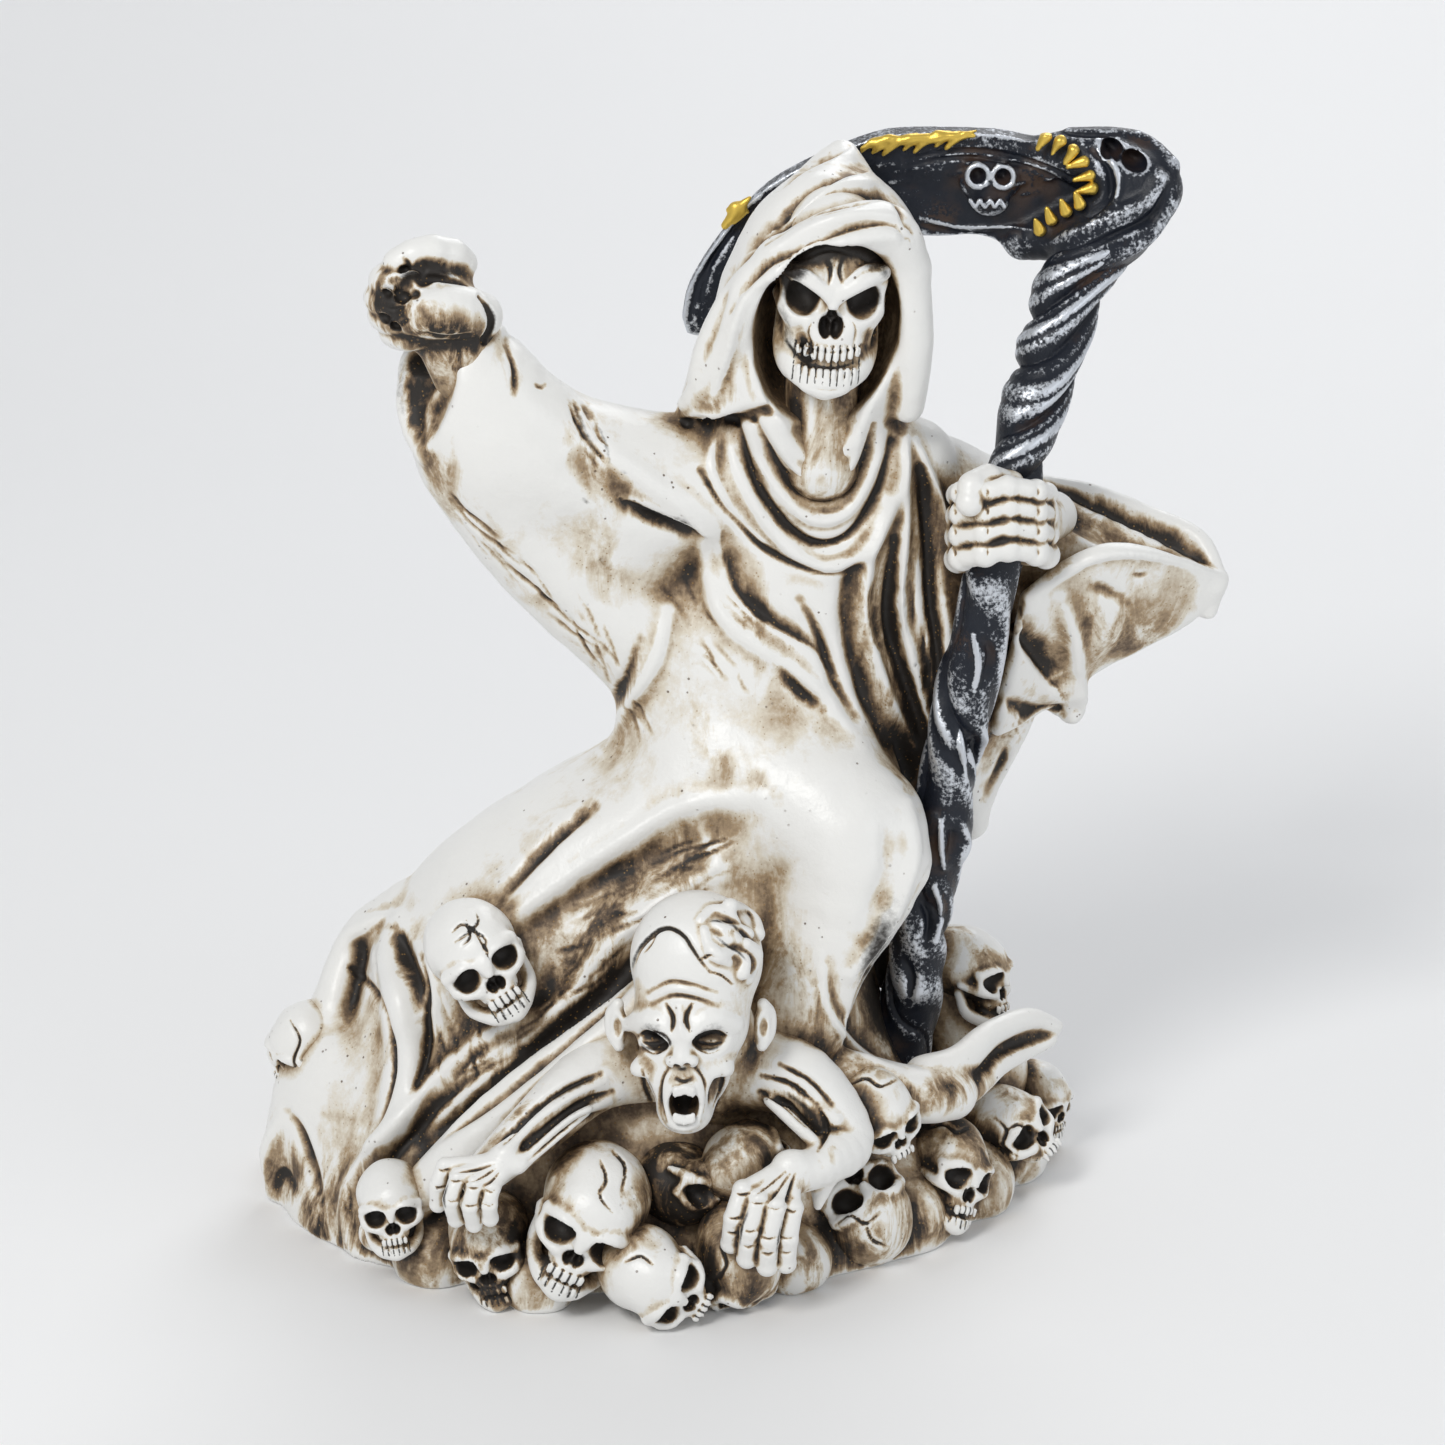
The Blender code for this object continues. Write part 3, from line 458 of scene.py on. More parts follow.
def add_sleeves(f):
    """Both sleeves, and the wing of cloth on the staff arm."""
    # Raised sleeve
    f.limb(
        (14, 0, 152, 15.5), (-10, -5, 152, 13.7), (-30, -10, 158, 13.4), (-43, -13, 167, 12.4),
        (-51, -13, 171, 11.6), blend=4,
    )
    f.limb((-36, -12, 162, 11.6), (-46, -14, 174, 11.2), (-51.5, -14, 178, 9.4), blend=2)
    f.limb((-46, -10, 160, 13.6), (-33, -5, 140, 13.6), (-14, -2, 121, 14.5), (0, 0, 105, 16.5), blend=5)
    f.ball((-22, -6, 146), (17.5, 12.5, 15.5), (0, 35, 0), blend=4)
    # Sleeve of the staff arm with its wing of cloth
    f.limb(
        (34, 2, 152, 10.7), (50, 8, 142, 11.6), (68, 8, 134, 9.6), (84, 7, 131, 5.7),
        (97.6, 5, 127.5, 2.2), blend=4,
    )
    f.limb((36, 2, 140, 12.6), (44, 4, 112, 11.6), (46, 7, 92, 7.7), (50, 8, 76, 3.8), blend=4)
    f.limb((50, 5, 124, 11.6), (64, 5, 112, 8.0), (70, 5, 101, 3.0), blend=4)
    # Cloth that hangs behind the shaft
    f.limb((34, 2, 116, 10), (38, 6, 98, 9.5), (42, 9, 84, 7.5), (45, 10, 74, 4), blend=3)
    f.limb(*pics(HANGING_CLOTH), blend=3)
    f.cloth(
        (
            ((60, -10, 130), (68, -9, 136), (77, -7, 138.5), (88, -2, 135), (98.7, 5, 128)),
            ((58, -8, 118), (66, -4, 120), (76, -2, 121), (84, 2, 121), (92, 5, 121)),
            ((55, -2, 100), (61, 1, 102), (68, 3, 107), (76, 4, 112), (84, 5, 116)),
        ),
        3.6,
    )
    f.cloth(
        (
            ((60, 14, 147), (74, 14, 144), (86, 14, 139), (95, 11, 135.5), (98.7, 6, 129)),
            ((58, 14, 132), (70, 14, 130), (82, 13, 128), (92, 9, 124), (97, 6, 122)),
        ),
        3.6,
    )


def add_hood(f):
    """Hood with the hollow for the skull."""
    # Hood
    f.ball((20.5, -6, 194.5), (18.4, 17.4, 20.8), (0, 8, 0), blend=3)
    f.limb((20, -4, 198, 13.5), (21.6, 3, 207.5, 8.6), (23.2, 9, 214.2, 3.2), blend=3)
    f.limb((18, -6, 186, 19.6), (17, -5, 174, 18.6), (17, -3, 166, 15.6), blend=3)
    f.limb(
        (-7.4, -10, 169.6, 1.5), (-3.6, -13, 173.5, 3.4), (-1, -15, 180, 5.0), (4, -18, 190, 5.9),
        (12, -21, 200, 5.8), blend=1.5,
    )
    f.limb((12, -21, 200, 5.8), (22, -22, 206, 5.5), (31, -19, 206, 5.5), (35, -16, 198, 4.6), blend=1.5)
    f.limb((35, -16, 198, 4.6), (36, -15, 184, 4.4), (35.6, -12, 170, 3.6), blend=1.5)
    f.limb((-2, -4, 160, 7.7), (18, -6, 162, 10.7), (38, -1, 156, 7.7), blend=3)
    f.cloth([pics(row) for row in HOOD_CORNER], 2.6, 1.5)
    f.ball((20, -25, 186.5), (14.5, 17, 19.5), (0, 12, 0), blend=1.0, carve=True)
    # Hollow below the hood's hem and at the throat
    f.limb(*f.route(HOOD_HEM, 0.1), blend=0.6, carve=True)
    f.limb((20, -25, 178, 9.5), (19.6, -23.5, 168, 7.5), (19.4, -21, 160.5, 3.4), blend=1.2, carve=True)
    f.limb(*pics(HEM_END), blend=0.6, carve=True)
    f.ball((20, -16, 187), (13.5, 15, 19), (0, 10, 0), blend=1.5, carve=True)


def add_sleeve_mouths(f):
    """Hollow mouths of the sleeves, with their lips."""
    f.ball((-61.5, -25, 172), (8.5, 11.5, 18), (0, 28, 0), blend=0.8, carve=True)
    f.ball((-58, -16, 184), (8, 9, 8), blend=0.8, carve=True)
    f.limb(*f.route(NEAR_LIP, 0.5), blend=1.6)
    f.limb(*pics(FAR_LIP), blend=1.5)
    f.ball((79, 3.5, 144), (21, 6, 8.5), (0, 22, 0), blend=1.5, carve=True)


def add_back_folds(f):
    """Long folds down the back and creases on the hood."""
    # The ball fills a dent in which the long folds would leave a hole
    f.ball(f.behind(-23, 51, sink=6.0), (9, 6, 12), blend=2)
    for k in range(5):
        top, foot = 1 + 7 * k, -54 + 18 * k
        path = []
        for t in np.linspace(0, 1, 9):
            drift = (foot - top) * t**1.4 + 1.5 * math.sin(5 * t + k)
            path.append((top + drift, 150 - 124 * t, t))
        ridge = [f.behind(x, z, 1.6 + 1.8 * t, sink=0.9 + t) for x, z, t in path]
        groove = [f.behind(x + 6, z, 2.2 + 1.2 * t, sink=-1.5 - 0.5 * t) for x, z, t in path]
        f.limb(*ridge, blend=3, steps=2)
        f.limb(*groove, blend=3, steps=2, carve=True)
    # Creases across the back of the hood
    for k in range(4):
        path = [(12 + 4 * j, 204 - 9 * k - 0.03 * (4 * j - 10) ** 2 + 0.3 * j) for j in range(6)]
        f.limb(*(f.behind(x, z, 2.0, sink=-1.4) for x, z in path), blend=2.5, carve=True)


def sculpt_robe():
    """Robe, hood, sleeves and the bed of the heap as one field."""
    f = Field((-99, -62, -3), (106, 62, 222), ROBE_VOXEL)
    robe_body(f)
    add_lap_and_train(f)
    add_sleeves(f)
    add_hood(f)
    add_sleeve_mouths(f)
    add_back_folds(f)
    # Bed of the heap
    for x, y, r in RUBBLE:
        f.ball((x, y, 5), r - 1.2, blend=2)
    f.limb((32, 9, 54, 8.6), (46, 11, 36, 9.6), (52, 10, 20, 11.5), blend=3)
    f.flat_below(0.0)
    skin = f.skin()
    skin.soften(2)
    skin.draw(FOLDS)
    skin.soften(1)
    lumps = 0.35 * rough_noise(skin.points, 11, 3) + 0.12 * rough_noise(skin.points, 3.4, 4)
    skin.points += skin.normals() * lumps[:, None]
    skin.points[:, 2] = np.maximum(skin.points[:, 2], GROUND)
    # Darker towards the floor
    towards_floor = 0.95 * np.clip(1.2 - skin.points[:, 2] / 16, 0, 1)
    skin.paint["wash"] = towards_floor * (0.75 + 0.5 * rough_noise(skin.points, 7, 5))
    skin.wash(ROBE_WASH_AND_SHADE)
    skin.wash(ROBE_INK_AND_SHADE, "ink")
    return skin


RUBBLE = (
    *((-57, -44, 10), (-36, -56, 9), (14, -48, 9), (36, -28, 11), (50, -12, 11), (58, 4, 11)),
    *((62, 18, 11), (40, 36, 13), (8, 45, 12), (-20, 46, 12), (-58, 37, 12), (-82, 14, 11)),
)

# Folds by picture points: (width, height in mm, lean, points)
FOLDS = (
    # Cowl at the neck
    (
        15, 1.9, 0,
        ((724, 425), (742, 480), (775, 532), (815, 566), (852, 560), (884, 522), (903, 470), (906, 430)),
    ),
    (8, -2.0, 0, ((736, 420), (756, 482), (787, 525), (818, 543), (850, 533), (878, 490), (892, 440))),
    (12, 1.7, 0, ((746, 420), (766, 470), (795, 508), (822, 519), (850, 508), (872, 470), (884, 430))),
    (7, -1.8, 0, ((754, 420), (777, 465), (802, 492), (825, 499), (850, 486), (866, 455), (875, 425))),
    (9, 1.3, 0, ((762, 415), (784, 452), (806, 476), (828, 482), (848, 468), (860, 440))),
    (7, -1.6, 0, ((700, 470), (727, 510), (760, 545), (795, 563), (828, 572), (858, 566))),
    (9, 1.0, 0, ((718, 430), (712, 470), (735, 520), (770, 552))),
    # Chest and waist
    (18, -1.5, 1, ((722, 540), (735, 590), (770, 622), (810, 645), (830, 668))),
    (18, 1.4, 0, ((700, 535), (720, 610), (770, 655), (815, 690), (862, 745))),
    (12, -1.6, 0, ((800, 600), (822, 640), (835, 680), (855, 715))),
    (14, -1.6, 0, ((776, 662), (800, 690), (822, 706))),
    (20, -2.8, 0, ((852, 560), (848, 620), (868, 690), (895, 742), (916, 782))),
    (14, 2.0, 0, ((885, 500), (868, 560), (862, 620), (885, 690), (912, 745))),
    (12, -2.4, 0, ((895, 540), (890, 620), (905, 680), (925, 740))),
    (12, 2.2, 0, ((902, 440), (905, 520), (900, 600), (918, 680), (935, 740))),
    (14, -2.8, 0, ((922, 470), (930, 540), (932, 610), (942, 690))),
    (9, 1.6, 0, ((915, 440), (940, 500), (948, 560))),
    (12, 1.4, 0, ((945, 600), (948, 650), (942, 700))),
    # Raised sleeve
    (44, -1.8, 0, ((566, 448), (605, 482), (650, 514))),
    (14, -3.2, -1, ((632, 506), (662, 519), (696, 531))),
    (24, 1.6, 0, ((590, 440), (640, 476), (690, 512), (720, 545))),
    (5, -0.8, 0, ((505, 340), (514, 368), (514, 394))),
    (5, -0.7, 0, ((570, 404), (580, 428), (598, 452), (606, 462))),
    *scratches(1, 26, (577, 404), (602, 460), 11, 15, 3, -0.5),
    (4, -0.5, 0, ((535, 384), (540, 387), (545, 385))),
    (14, 1.4, 0, ((600, 750), (625, 710), (655, 660), (668, 610))),
    (10, -1.0, 0, ((585, 745), (620, 690), (640, 640))),
    *scratches(2, 22, (450, 505), (590, 640), 9, 55, 3, -0.45),
    *scratches(3, 12, (575, 610), (640, 730), 16, 50, 3, -0.4),
    *scratches(4, 9, (1010, 700), (1060, 770), 18, 30, 3, -0.4),
    *scratches(5, 22, (560, 930), (740, 850), 26, 55, 3.5, -0.5),
    *scratches(6, 16, (450, 1090), (620, 960), 16, 50, 3, -0.4),
    *scratches(7, 14, (690, 590), (760, 690), 30, 34, 3, -0.4),
    *scratches(8, 16, (915, 560), (920, 740), 14, 50, 3.5, -0.6),
    *scratches(9, 14, (430, 960), (470, 1080), 26, 40, 3, -0.4),
    (22, -0.8, 0, ((500, 560), (550, 610), (590, 660))),
    # Lap and skirt
    (62, -5.0, 0, ((712, 832), (640, 862), (560, 905), (500, 950))),
    (24, 1.8, 0, ((762, 800), (690, 805), (610, 850), (530, 905), (480, 950))),
    (26, 2.2, 0, ((720, 870), (660, 900), (600, 955), (560, 1010), (470, 1085), (385, 1150))),
    (20, -3.2, 0, ((640, 955), (590, 1010), (500, 1090), (420, 1140))),
    (12, -1.8, 0, ((593, 805), (545, 845), (498, 896))),
    (14, 1.8, 0, ((907, 802), (912, 860), (885, 930), (850, 975))),
    (20, -0.8, 0, ((885, 815), (888, 870), (864, 935))),
    (18, -1.2, 0, ((826, 965), (836, 1005), (862, 1042), (900, 1066))),
    (10, 1.4, 0, ((820, 955), (830, 1010), (862, 1052), (900, 1068))),
    (14, -1.4, 0, ((745, 1020), (700, 1040), (655, 1030))),
    # Trailing cloth at the lower left
    (26, 2.4, 0, ((374, 935), (392, 975), (406, 1020), (411, 1060), (405, 1095), (384, 1138))),
    (7, -1.3, 0, ((351, 967), (376, 990), (391, 1025), (397, 1060), (387, 1109), (370, 1150))),
    (16, -3.0, 0, ((392, 926), (404, 955), (414, 990), (418, 1020))),
    (8, -2.0, 0, ((420, 955), (425, 1000), (427, 1050), (418, 1086))),
    (14, 1.8, 0, ((343, 940), (364, 926), (394, 914))),
    (44, -1.6, 0, ((448, 975), (462, 1010), (450, 1060))),
    (56, 1.2, 0, ((330, 1030), (345, 1075), (338, 1120))),
    (9, -1.5, 0, ((287, 1112), (300, 1132), (312, 1165), (320, 1200))),
    (12, 1.4, 0, ((280, 1116), (264, 1158), (259, 1194))),
    (9, -1.0, 0, ((296, 1190), (284, 1172), (276, 1186))),
    (18, 2.4, 0, ((560, 1004), (480, 1040), (427, 1092), (376, 1150), (351, 1190), (352, 1240), (376, 1274))),
    (14, -2.2, 0, ((520, 1048), (455, 1092), (408, 1140), (384, 1172))),
    # Bands of the hood
    (15, -1.7, 1, ((776, 190), (805, 166), (850, 145))),
    (17, -1.9, 1, ((774, 226), (802, 201), (845, 174), (888, 166))),
    (18, -2.0, 1, ((763, 243), (811, 213), (857, 201), (891, 198), (908, 226))),
    (14, -1.6, 1, ((734, 310), (765, 268), (811, 247), (851, 230), (890, 226), (906, 240))),
    (9, 1.0, 0, ((790, 214), (830, 190), (880, 180))),
    (9, 1.0, 0, ((770, 252), (815, 226), (860, 214), (895, 216))),
    (10, 1.2, 0, ((730, 330), (752, 290), (800, 262), (850, 241), (895, 238))),
    (14, -1.4, 0, ((728, 270), (714, 320), (700, 370))),
    (10, 1.2, 0, ((745, 300), (728, 350), (712, 400))),
    # Staff sleeve
    (26, -3.2, 1, ((1010, 622), (1030, 650), (1052, 684))),
    (16, 1.6, 0, ((1062, 596), (1075, 640), (1080, 690), (1092, 715))),
    (13, -1.0, 0, ((1092, 587), (1108, 592), (1126, 602))),
    (4, -0.6, 0, ((1134, 574), (1140, 576), (1146, 574))),
    (7, -0.6, 0, ((1020, 742), (1040, 722), (1062, 708))),
    (7, -0.6, 0, ((1000, 775), (1012, 752), (1030, 736))),
    (8, 1.0, 0, ((1040, 592), (1100, 556), (1165, 558), (1238, 582))),
    (18, -1.8, 0, ((1000, 700), (1040, 715), (1075, 712))),
    (10, -1.2, 0, ((1010, 740), (1000, 770), (985, 800))),
)

# Brown wash and painted shade by picture points: (width, strength, lean, points)
ROBE_WASH_AND_SHADE = (
    (50, 0.9, 0, ((405, 345), (410, 400), (425, 455), (450, 510))),
    (18, 0.9, 0, ((425, 352), (415, 385), (416, 430))),
    (20, 0.6, 0, ((430, 425), (436, 450), (446, 472))),
    (36, 0.5, 0, ((460, 510), (500, 550), (560, 620))),
    (36, 0.6, 0, ((560, 600), (600, 650), (620, 700))),
    (26, 0.5, 0, ((640, 640), (625, 700), (600, 740))),
    (28, 1.1, 0, ((575, 408), (590, 436), (602, 462))),
    (40, 0.55, 0, ((575, 455), (610, 485), (650, 510))),
    (16, 1.0, 0, ((640, 512), (668, 520), (692, 530))),
    (6, 0.9, 0, ((534, 385), (546, 386))),
    (40, 0.5, 0, ((600, 500), (600, 560), (620, 590))),
    (20, 0.8, 0, ((510, 350), (516, 395))),
    (26, 0.7, 0, ((730, 560), (770, 620), (815, 650))),
    (26, 0.6, 0, ((785, 670), (820, 705))),
    (40, 1.0, 0, ((870, 580), (880, 680), (910, 770))),
    (36, 1.0, 0, ((920, 480), (928, 600), (935, 700))),
    (24, 0.8, 0, ((860, 540), (866, 600), (872, 650))),
    # Brown wash and painted shade in the deep valley of the lap
    (70, 0.85, 0, ((715, 835), (660, 880), (600, 920), (520, 960))),
    (60, 0.7, 0, ((640, 930), (560, 1010), (470, 1080), (420, 1120))),
    (20, 0.8, 0, ((356, 968), (388, 1020), (396, 1060), (384, 1110))),
    (26, 1.0, 0, ((396, 930), (408, 960), (418, 1010))),
    (60, 0.75, 0, ((450, 960), (470, 1010), (440, 1070))),
    (40, 0.7, 0, ((275, 1190), (300, 1170), (330, 1210))),
    (50, 0.5, 0, ((300, 1205), (340, 1215), (350, 1180))),
    # Brown wash and painted shade inside the staff sleeve's wing
    (90, 0.45, 0, ((1050, 640), (1110, 620), (1180, 590))),
    (60, 0.5, 0, ((985, 780), (1020, 740), (1060, 700))),
    (50, 0.9, 0, ((905, 700), (915, 760), (925, 800))),
    (30, 0.5, 0, ((770, 930), (800, 980), (830, 1040))),
    (34, 0.5, 0, ((740, 560), (760, 640), (800, 720))),
    (30, 0.45, 0, ((690, 700), (720, 760), (770, 790))),
    (44, 0.6, 0, ((940, 1075), (980, 1095), (1010, 1070))),
    (16, 0.8, 0, ((930, 1086), (975, 1076), (1010, 1046), (1048, 1036))),
    (60, 0.5, 0, ((540, 1000), (600, 960), (660, 930))),
    # Painted shade of the cavity at the foot of the shaft
    (34, 1.0, 0, ((868, 950), (872, 1010), (900, 1040), (940, 1045))),
    (30, 0.6, 0, ((500, 890), (560, 830), (600, 805))),
    # Brown wash and painted shade inside the staff sleeve's lining
    (60, 0.9, 0, ((1060, 490), (1120, 520), (1190, 555))),
    (40, 0.8, 0, ((1010, 625), (1060, 690))),
    (40, 0.6, 0, ((1090, 600), (1130, 650), (1180, 620))),
    (40, 0.4, 0, ((1000, 720), (1060, 720))),
    (40, 0.8, 0, ((690, 410), (720, 405), (745, 395))),
    (24, 0.5, 0, ((735, 300), (760, 265), (800, 245))),
    (18, 0.6, 0, ((785, 186), (810, 166), (850, 146))),
    (20, 0.75, 0, ((776, 226), (805, 201), (850, 176), (890, 172))),
    (20, 0.75, 0, ((766, 242), (812, 214), (858, 202), (895, 206), (910, 232))),
    (20, 0.4, 0, ((720, 300), (705, 340), (696, 390))),
    (20, 0.5, 0, ((285, 1120), (265, 1190))),
    (60, 0.8, 0, ((360, 1150), (380, 1230), (430, 1290))),
    (30, 0.5, 0, ((660, 905), (720, 870), (760, 900))),
    (34, 1.2, 0, ((870, 1078), (925, 1098), (985, 1090))),
    (70, 0.5, 0, ((775, 930), (795, 990), (835, 1050), (880, 1085))),
    (60, 0.9, 0, ((780, 1255), (805, 1262), (840, 1250))),
    (50, 0.8, 0, ((860, 1230), (920, 1225), (980, 1200))),
    (40, 0.7, 0, ((285, 1230), (330, 1240), (370, 1250))),
)
ROBE_INK_AND_SHADE = (
    # Sleeve lining and the fold under the raised arm: ink and painted shade
    (22, 0.4, 0, ((408, 350), (400, 385), (405, 425))),
    (18, 0.8, 0, ((664, 520), (680, 526), (694, 531))),
    # Painted shade of the cavity at the foot of the shaft
    (32, 0.9, 0, ((893, 900), (878, 950), (875, 990), (886, 1028), (906, 1046))),
    # Worn patches and chips of the raised sleeve
    (9, 0.55, 0, ((574, 404), (584, 430), (600, 460))),
    (6, 0.5, 0, ((590, 412), (604, 440), (612, 470))),
    (6, 0.8, 0, ((581, 498), (585, 501), (588, 500))),
    (6, 0.8, 0, ((595, 555), (599, 558), (603, 557))),
    (4, 0.8, 0, ((514, 466), (516, 468), (517, 470))),
    (4, 0.7, 0, ((622, 476), (626, 470), (632, 478))),
)


LATTICE = 32


def rough_noise(points, size, seed):
    """Smooth lattice noise from -1 to 1, one value for each point."""
    lattice = np.random.default_rng(seed).uniform(-1, 1, (LATTICE,) * 3)
    scaled = points / size
    cell = np.floor(scaled).astype(int)
    part = scaled - cell
    part = part * part * (3 - 2 * part)
    total = np.zeros(len(points))
    for corner in np.ndindex(2, 2, 2):
        index = (cell + corner) % LATTICE
        weight = np.prod(np.where(corner, part, 1 - part), axis=1)
        total += weight * lattice[index[:, 0], index[:, 1], index[:, 2]]
    return total


MOST_TRIANGLES = 190000
KEPT_SHARE = 0.87


def thin_out(item):
    """Fewer faces where the surface is smooth: the whole stays under a million triangles."""
    have = 2 * len(item.data.polygons)
    item.modifiers.new("fewer", "DECIMATE").ratio = min(KEPT_SHARE, MOST_TRIANGLES / have)
    full = item.data
    graph = bpy.context.evaluated_depsgraph_get()
    item.data = bpy.data.meshes.new_from_object(item.evaluated_get(graph))
    item.modifiers.clear()
    bpy.data.meshes.remove(full)


def make_object(name, skin, material):
    """Object in metres, with the skin's paint as attributes."""
    mesh = bpy.data.meshes.new(name)
    count = len(skin.faces)
    mesh.vertices.add(len(skin.points))
    mesh.vertices.foreach_set("co", (skin.points * MM).astype(np.float32).ravel())
    mesh.loops.add(4 * count)
    mesh.loops.foreach_set("vertex_index", skin.faces.ravel())
    mesh.polygons.add(count)
    mesh.polygons.foreach_set("loop_start", np.arange(0, 4 * count, 4, dtype=np.int32))
    mesh.polygons.foreach_set("use_smooth", np.ones(count, bool))
    mesh.update(calc_edges=True)
    mesh.validate()
    for key, values in skin.paint.items():
        layer = mesh.attributes.new(key, "FLOAT", "POINT")
        layer.data.foreach_set("value", values.astype(np.float32))
    mesh.materials.append(material)
    item = bpy.data.objects.new(name, mesh)
    bpy.context.scene.collection.objects.link(item)
    thin_out(item)
    return item


def pic(px, py, y, *rest):
    """Station at a picture point and depth, followed by its radius if given."""
    return (*at(px, py, y), *rest)


def pics(rows):
    """Stations at rows of picture point, depth and radius."""
    return [pic(*row) for row in rows]


def tooth_row(f, z, half, count, radius, height, front=-0.98):
    """Teeth of the unit skull on an arc."""
    for k in range(count):
        x = half * (2 * (k + 0.5) / count - 1)
        y = front + 0.62 * x * x
        f.limb((x, y, z + height / 2, radius), (x, y - 0.01, z - height / 2, 0.88 * radius), blend=0.01)


def sculpt_skull(voxel, jaw=True, teeth=5, half=0.34, full=0.0):
    """Bare skull of radius 1 that looks along -Y; full widens its jaws."""
    f = Field((-1.15, -1.35, -1.4), (1.15, 1.35, 1.25), voxel)
    f.ball((0, 0.16, 0.2), (0.87, 0.98, 0.85), blend=0.1)
    f.ball((0, -0.48, 0.2), (0.66, 0.44, 0.46), blend=0.25)
    f.ball((0, -0.45, -0.2), (0.66, 0.44, 0.42), blend=0.15)
    f.ball((0, -0.62, -0.52), (0.43 + 0.14 * full, 0.38, 0.32), blend=0.15)
    for s in (-1, 1):
        f.limb(
            (s * 0.74, -0.58, 0.1, 0.11), (s * 0.42, -0.86, 0.2, 0.12), (s * 0.1, -0.92, 0.06, 0.1),
            blend=0.12,
        )
        f.limb(
            (s * 0.34, -0.84, -0.36, 0.13), (s * 0.6, -0.7, -0.28, 0.15), (s * 0.82, -0.2, -0.16, 0.09),
            blend=0.1,
        )
        f.limb((s * 0.74, -0.6, 0.1, 0.08), (s * 0.7, -0.64, -0.2, 0.1), blend=0.08)
    f.limb((0, -0.86, 0.1, 0.12), (0, -1.0, -0.14, 0.075), blend=0.12)
    for s in (-1, 1):
        f.ball(
            (s * (0.4 + 0.05 * full), -0.93, -0.03), (0.27 + 0.04 * full, 0.4, 0.2), (0, s * 20, 0),
            blend=0.05, carve=True,
        )
        f.ball((s * (0.42 + 0.04 * full), -0.93, -0.11), (0.25, 0.38, 0.19), blend=0.05, carve=True)
        f.ball((s * 1.02, -0.4, 0.0), (0.2, 0.36, 0.3), blend=0.15, carve=True)
        if not full:
            f.ball((s * 0.6, -0.66, -0.62), (0.16, 0.3, 0.18), blend=0.12, carve=True)
        f.ball((s * 0.09, -0.98, -0.41), (0.1, 0.3, 0.13), (0, s * 14, 0), blend=0.03, carve=True)
    f.ball((0, -1.0, -0.28), (0.08, 0.26, 0.1), blend=0.03, carve=True)
    if jaw:
        for s in (-1, 1):
            f.limb(
                (s * 0.66, -0.12, -0.4, 0.12),
                (s * 0.6, -0.34, -0.82, 0.14 + 0.04 * full),
                (s * (0.3 + 0.08 * full), -0.76, -1.04 + 0.03 * full, 0.15),
                (0, -0.84, -1.08, 0.17),
                blend=0.1,
            )
            if full:
                f.ball((s * 0.48, -0.42, -0.62), (0.2, 0.34, 0.42), blend=0.2)
        f.ball((0, -0.6, -0.9), (0.38 + 0.1 * full, 0.32, 0.2), blend=0.1)
        f.ball((0, -0.88, -1.12), (0.22 + 0.12 * full, 0.14, 0.12), blend=0.1)
        tooth_row(f, -0.965, 0.94 * half, teeth, 0.86 * half / teeth, 0.1, -0.98)
    tooth_row(f, -0.725, half, teeth, 0.88 * half / teeth, 0.12, -1.0)
    arc = [
        (x, -1.0 + 0.62 * x * x, -0.845 + 0.3 * full * x * x, 0.05)
        for x in np.linspace(-1.15 * half, 1.15 * half, 7)
    ]
    f.limb(*arc, blend=0.02, carve=True)
    for s in (-1, 1):
        if full:
            f.limb(
                (s * 0.76, -0.74, 0.24, 0.08), (s * 0.42, -0.97, 0.15, 0.09), (s * 0.1, -1.0, -0.01, 0.08),
                blend=0.08,
            )
    skin = f.skin()
    x, y, z = skin.points.T
    ink = np.zeros(len(x))
    for s in (-1, 1):
        spread = ((x - s * 0.42) / (0.27 + 0.04 * full)) ** 2 + ((z + 0.06) / 0.22) ** 2
        ink = np.maximum(ink, np.exp(-(spread**3)) * np.clip((y + 0.86) / 0.1, 0, 1))
    spread = (x / 0.2) ** 2 + ((z + 0.37) / 0.17) ** 2
    ink = np.maximum(ink, np.exp(-(spread**3)) * np.clip((y + 0.95) / 0.06, 0, 1))
    # Dark lines between the teeth
    gap = np.clip((np.abs((x / half + 1) * teeth / 2 % 1 - 0.5) - 0.37) / 0.08, 0, 1)
    rows = (np.abs(z + 0.725) < 0.12) | (np.abs(z + 0.965) < 0.11) if jaw else np.abs(z + 0.725) < 0.12
    ink = np.maximum(ink, 0.85 * gap * rows * (np.abs(x) < 1.05 * half) * (y < -0.7))
    skin.paint["ink"] = ink * (y < -0.25)
    return skin


def skull_frame(centre, face, roll):
    """Axes and place of a skull that looks along face, its crown leaning clockwise by roll."""
    forward = Vector(face).normalized()
    side = Vector((0, 0, 1)).cross(forward).normalized()
    crown = forward.cross(side)
    axes = np.array((side, -forward, crown)).T
    return axes @ turned((0, roll, 0)), np.array(centre)


# Skulls of the heap: centre, radius, way they look, roll, jaw, how brown
FRONT_SKULLS = (
    ((-48.2, -36, 65.2), 10.4, (0.22, -0.95, 0.1), -30, True, 0.15),
    ((-84.8, -6, 33.5), 7.8, (-0.75, -0.5, -0.3), 12, False, 0.1),
    ((-65.2, -48, 17.5), 7.7, (0.05, -1, 0.05), -8, True, 0.35),
    ((-45.6, -54.5, 12.5), 9.0, (-0.1, -0.9, -0.15), -14, True, 1.0),
    ((-25.6, -58, 20.5), 12, (-0.1, -0.9, -0.12), 26, True, 0.5),
    ((-13.5, -64.2, 9.6), 9.8, (0.5, -0.75, -0.15), -58, False, 0.25),
    ((2.5, -56.5, 9.8), 10, (0.3, -0.3, -0.9), 0, False, 0.9),
)
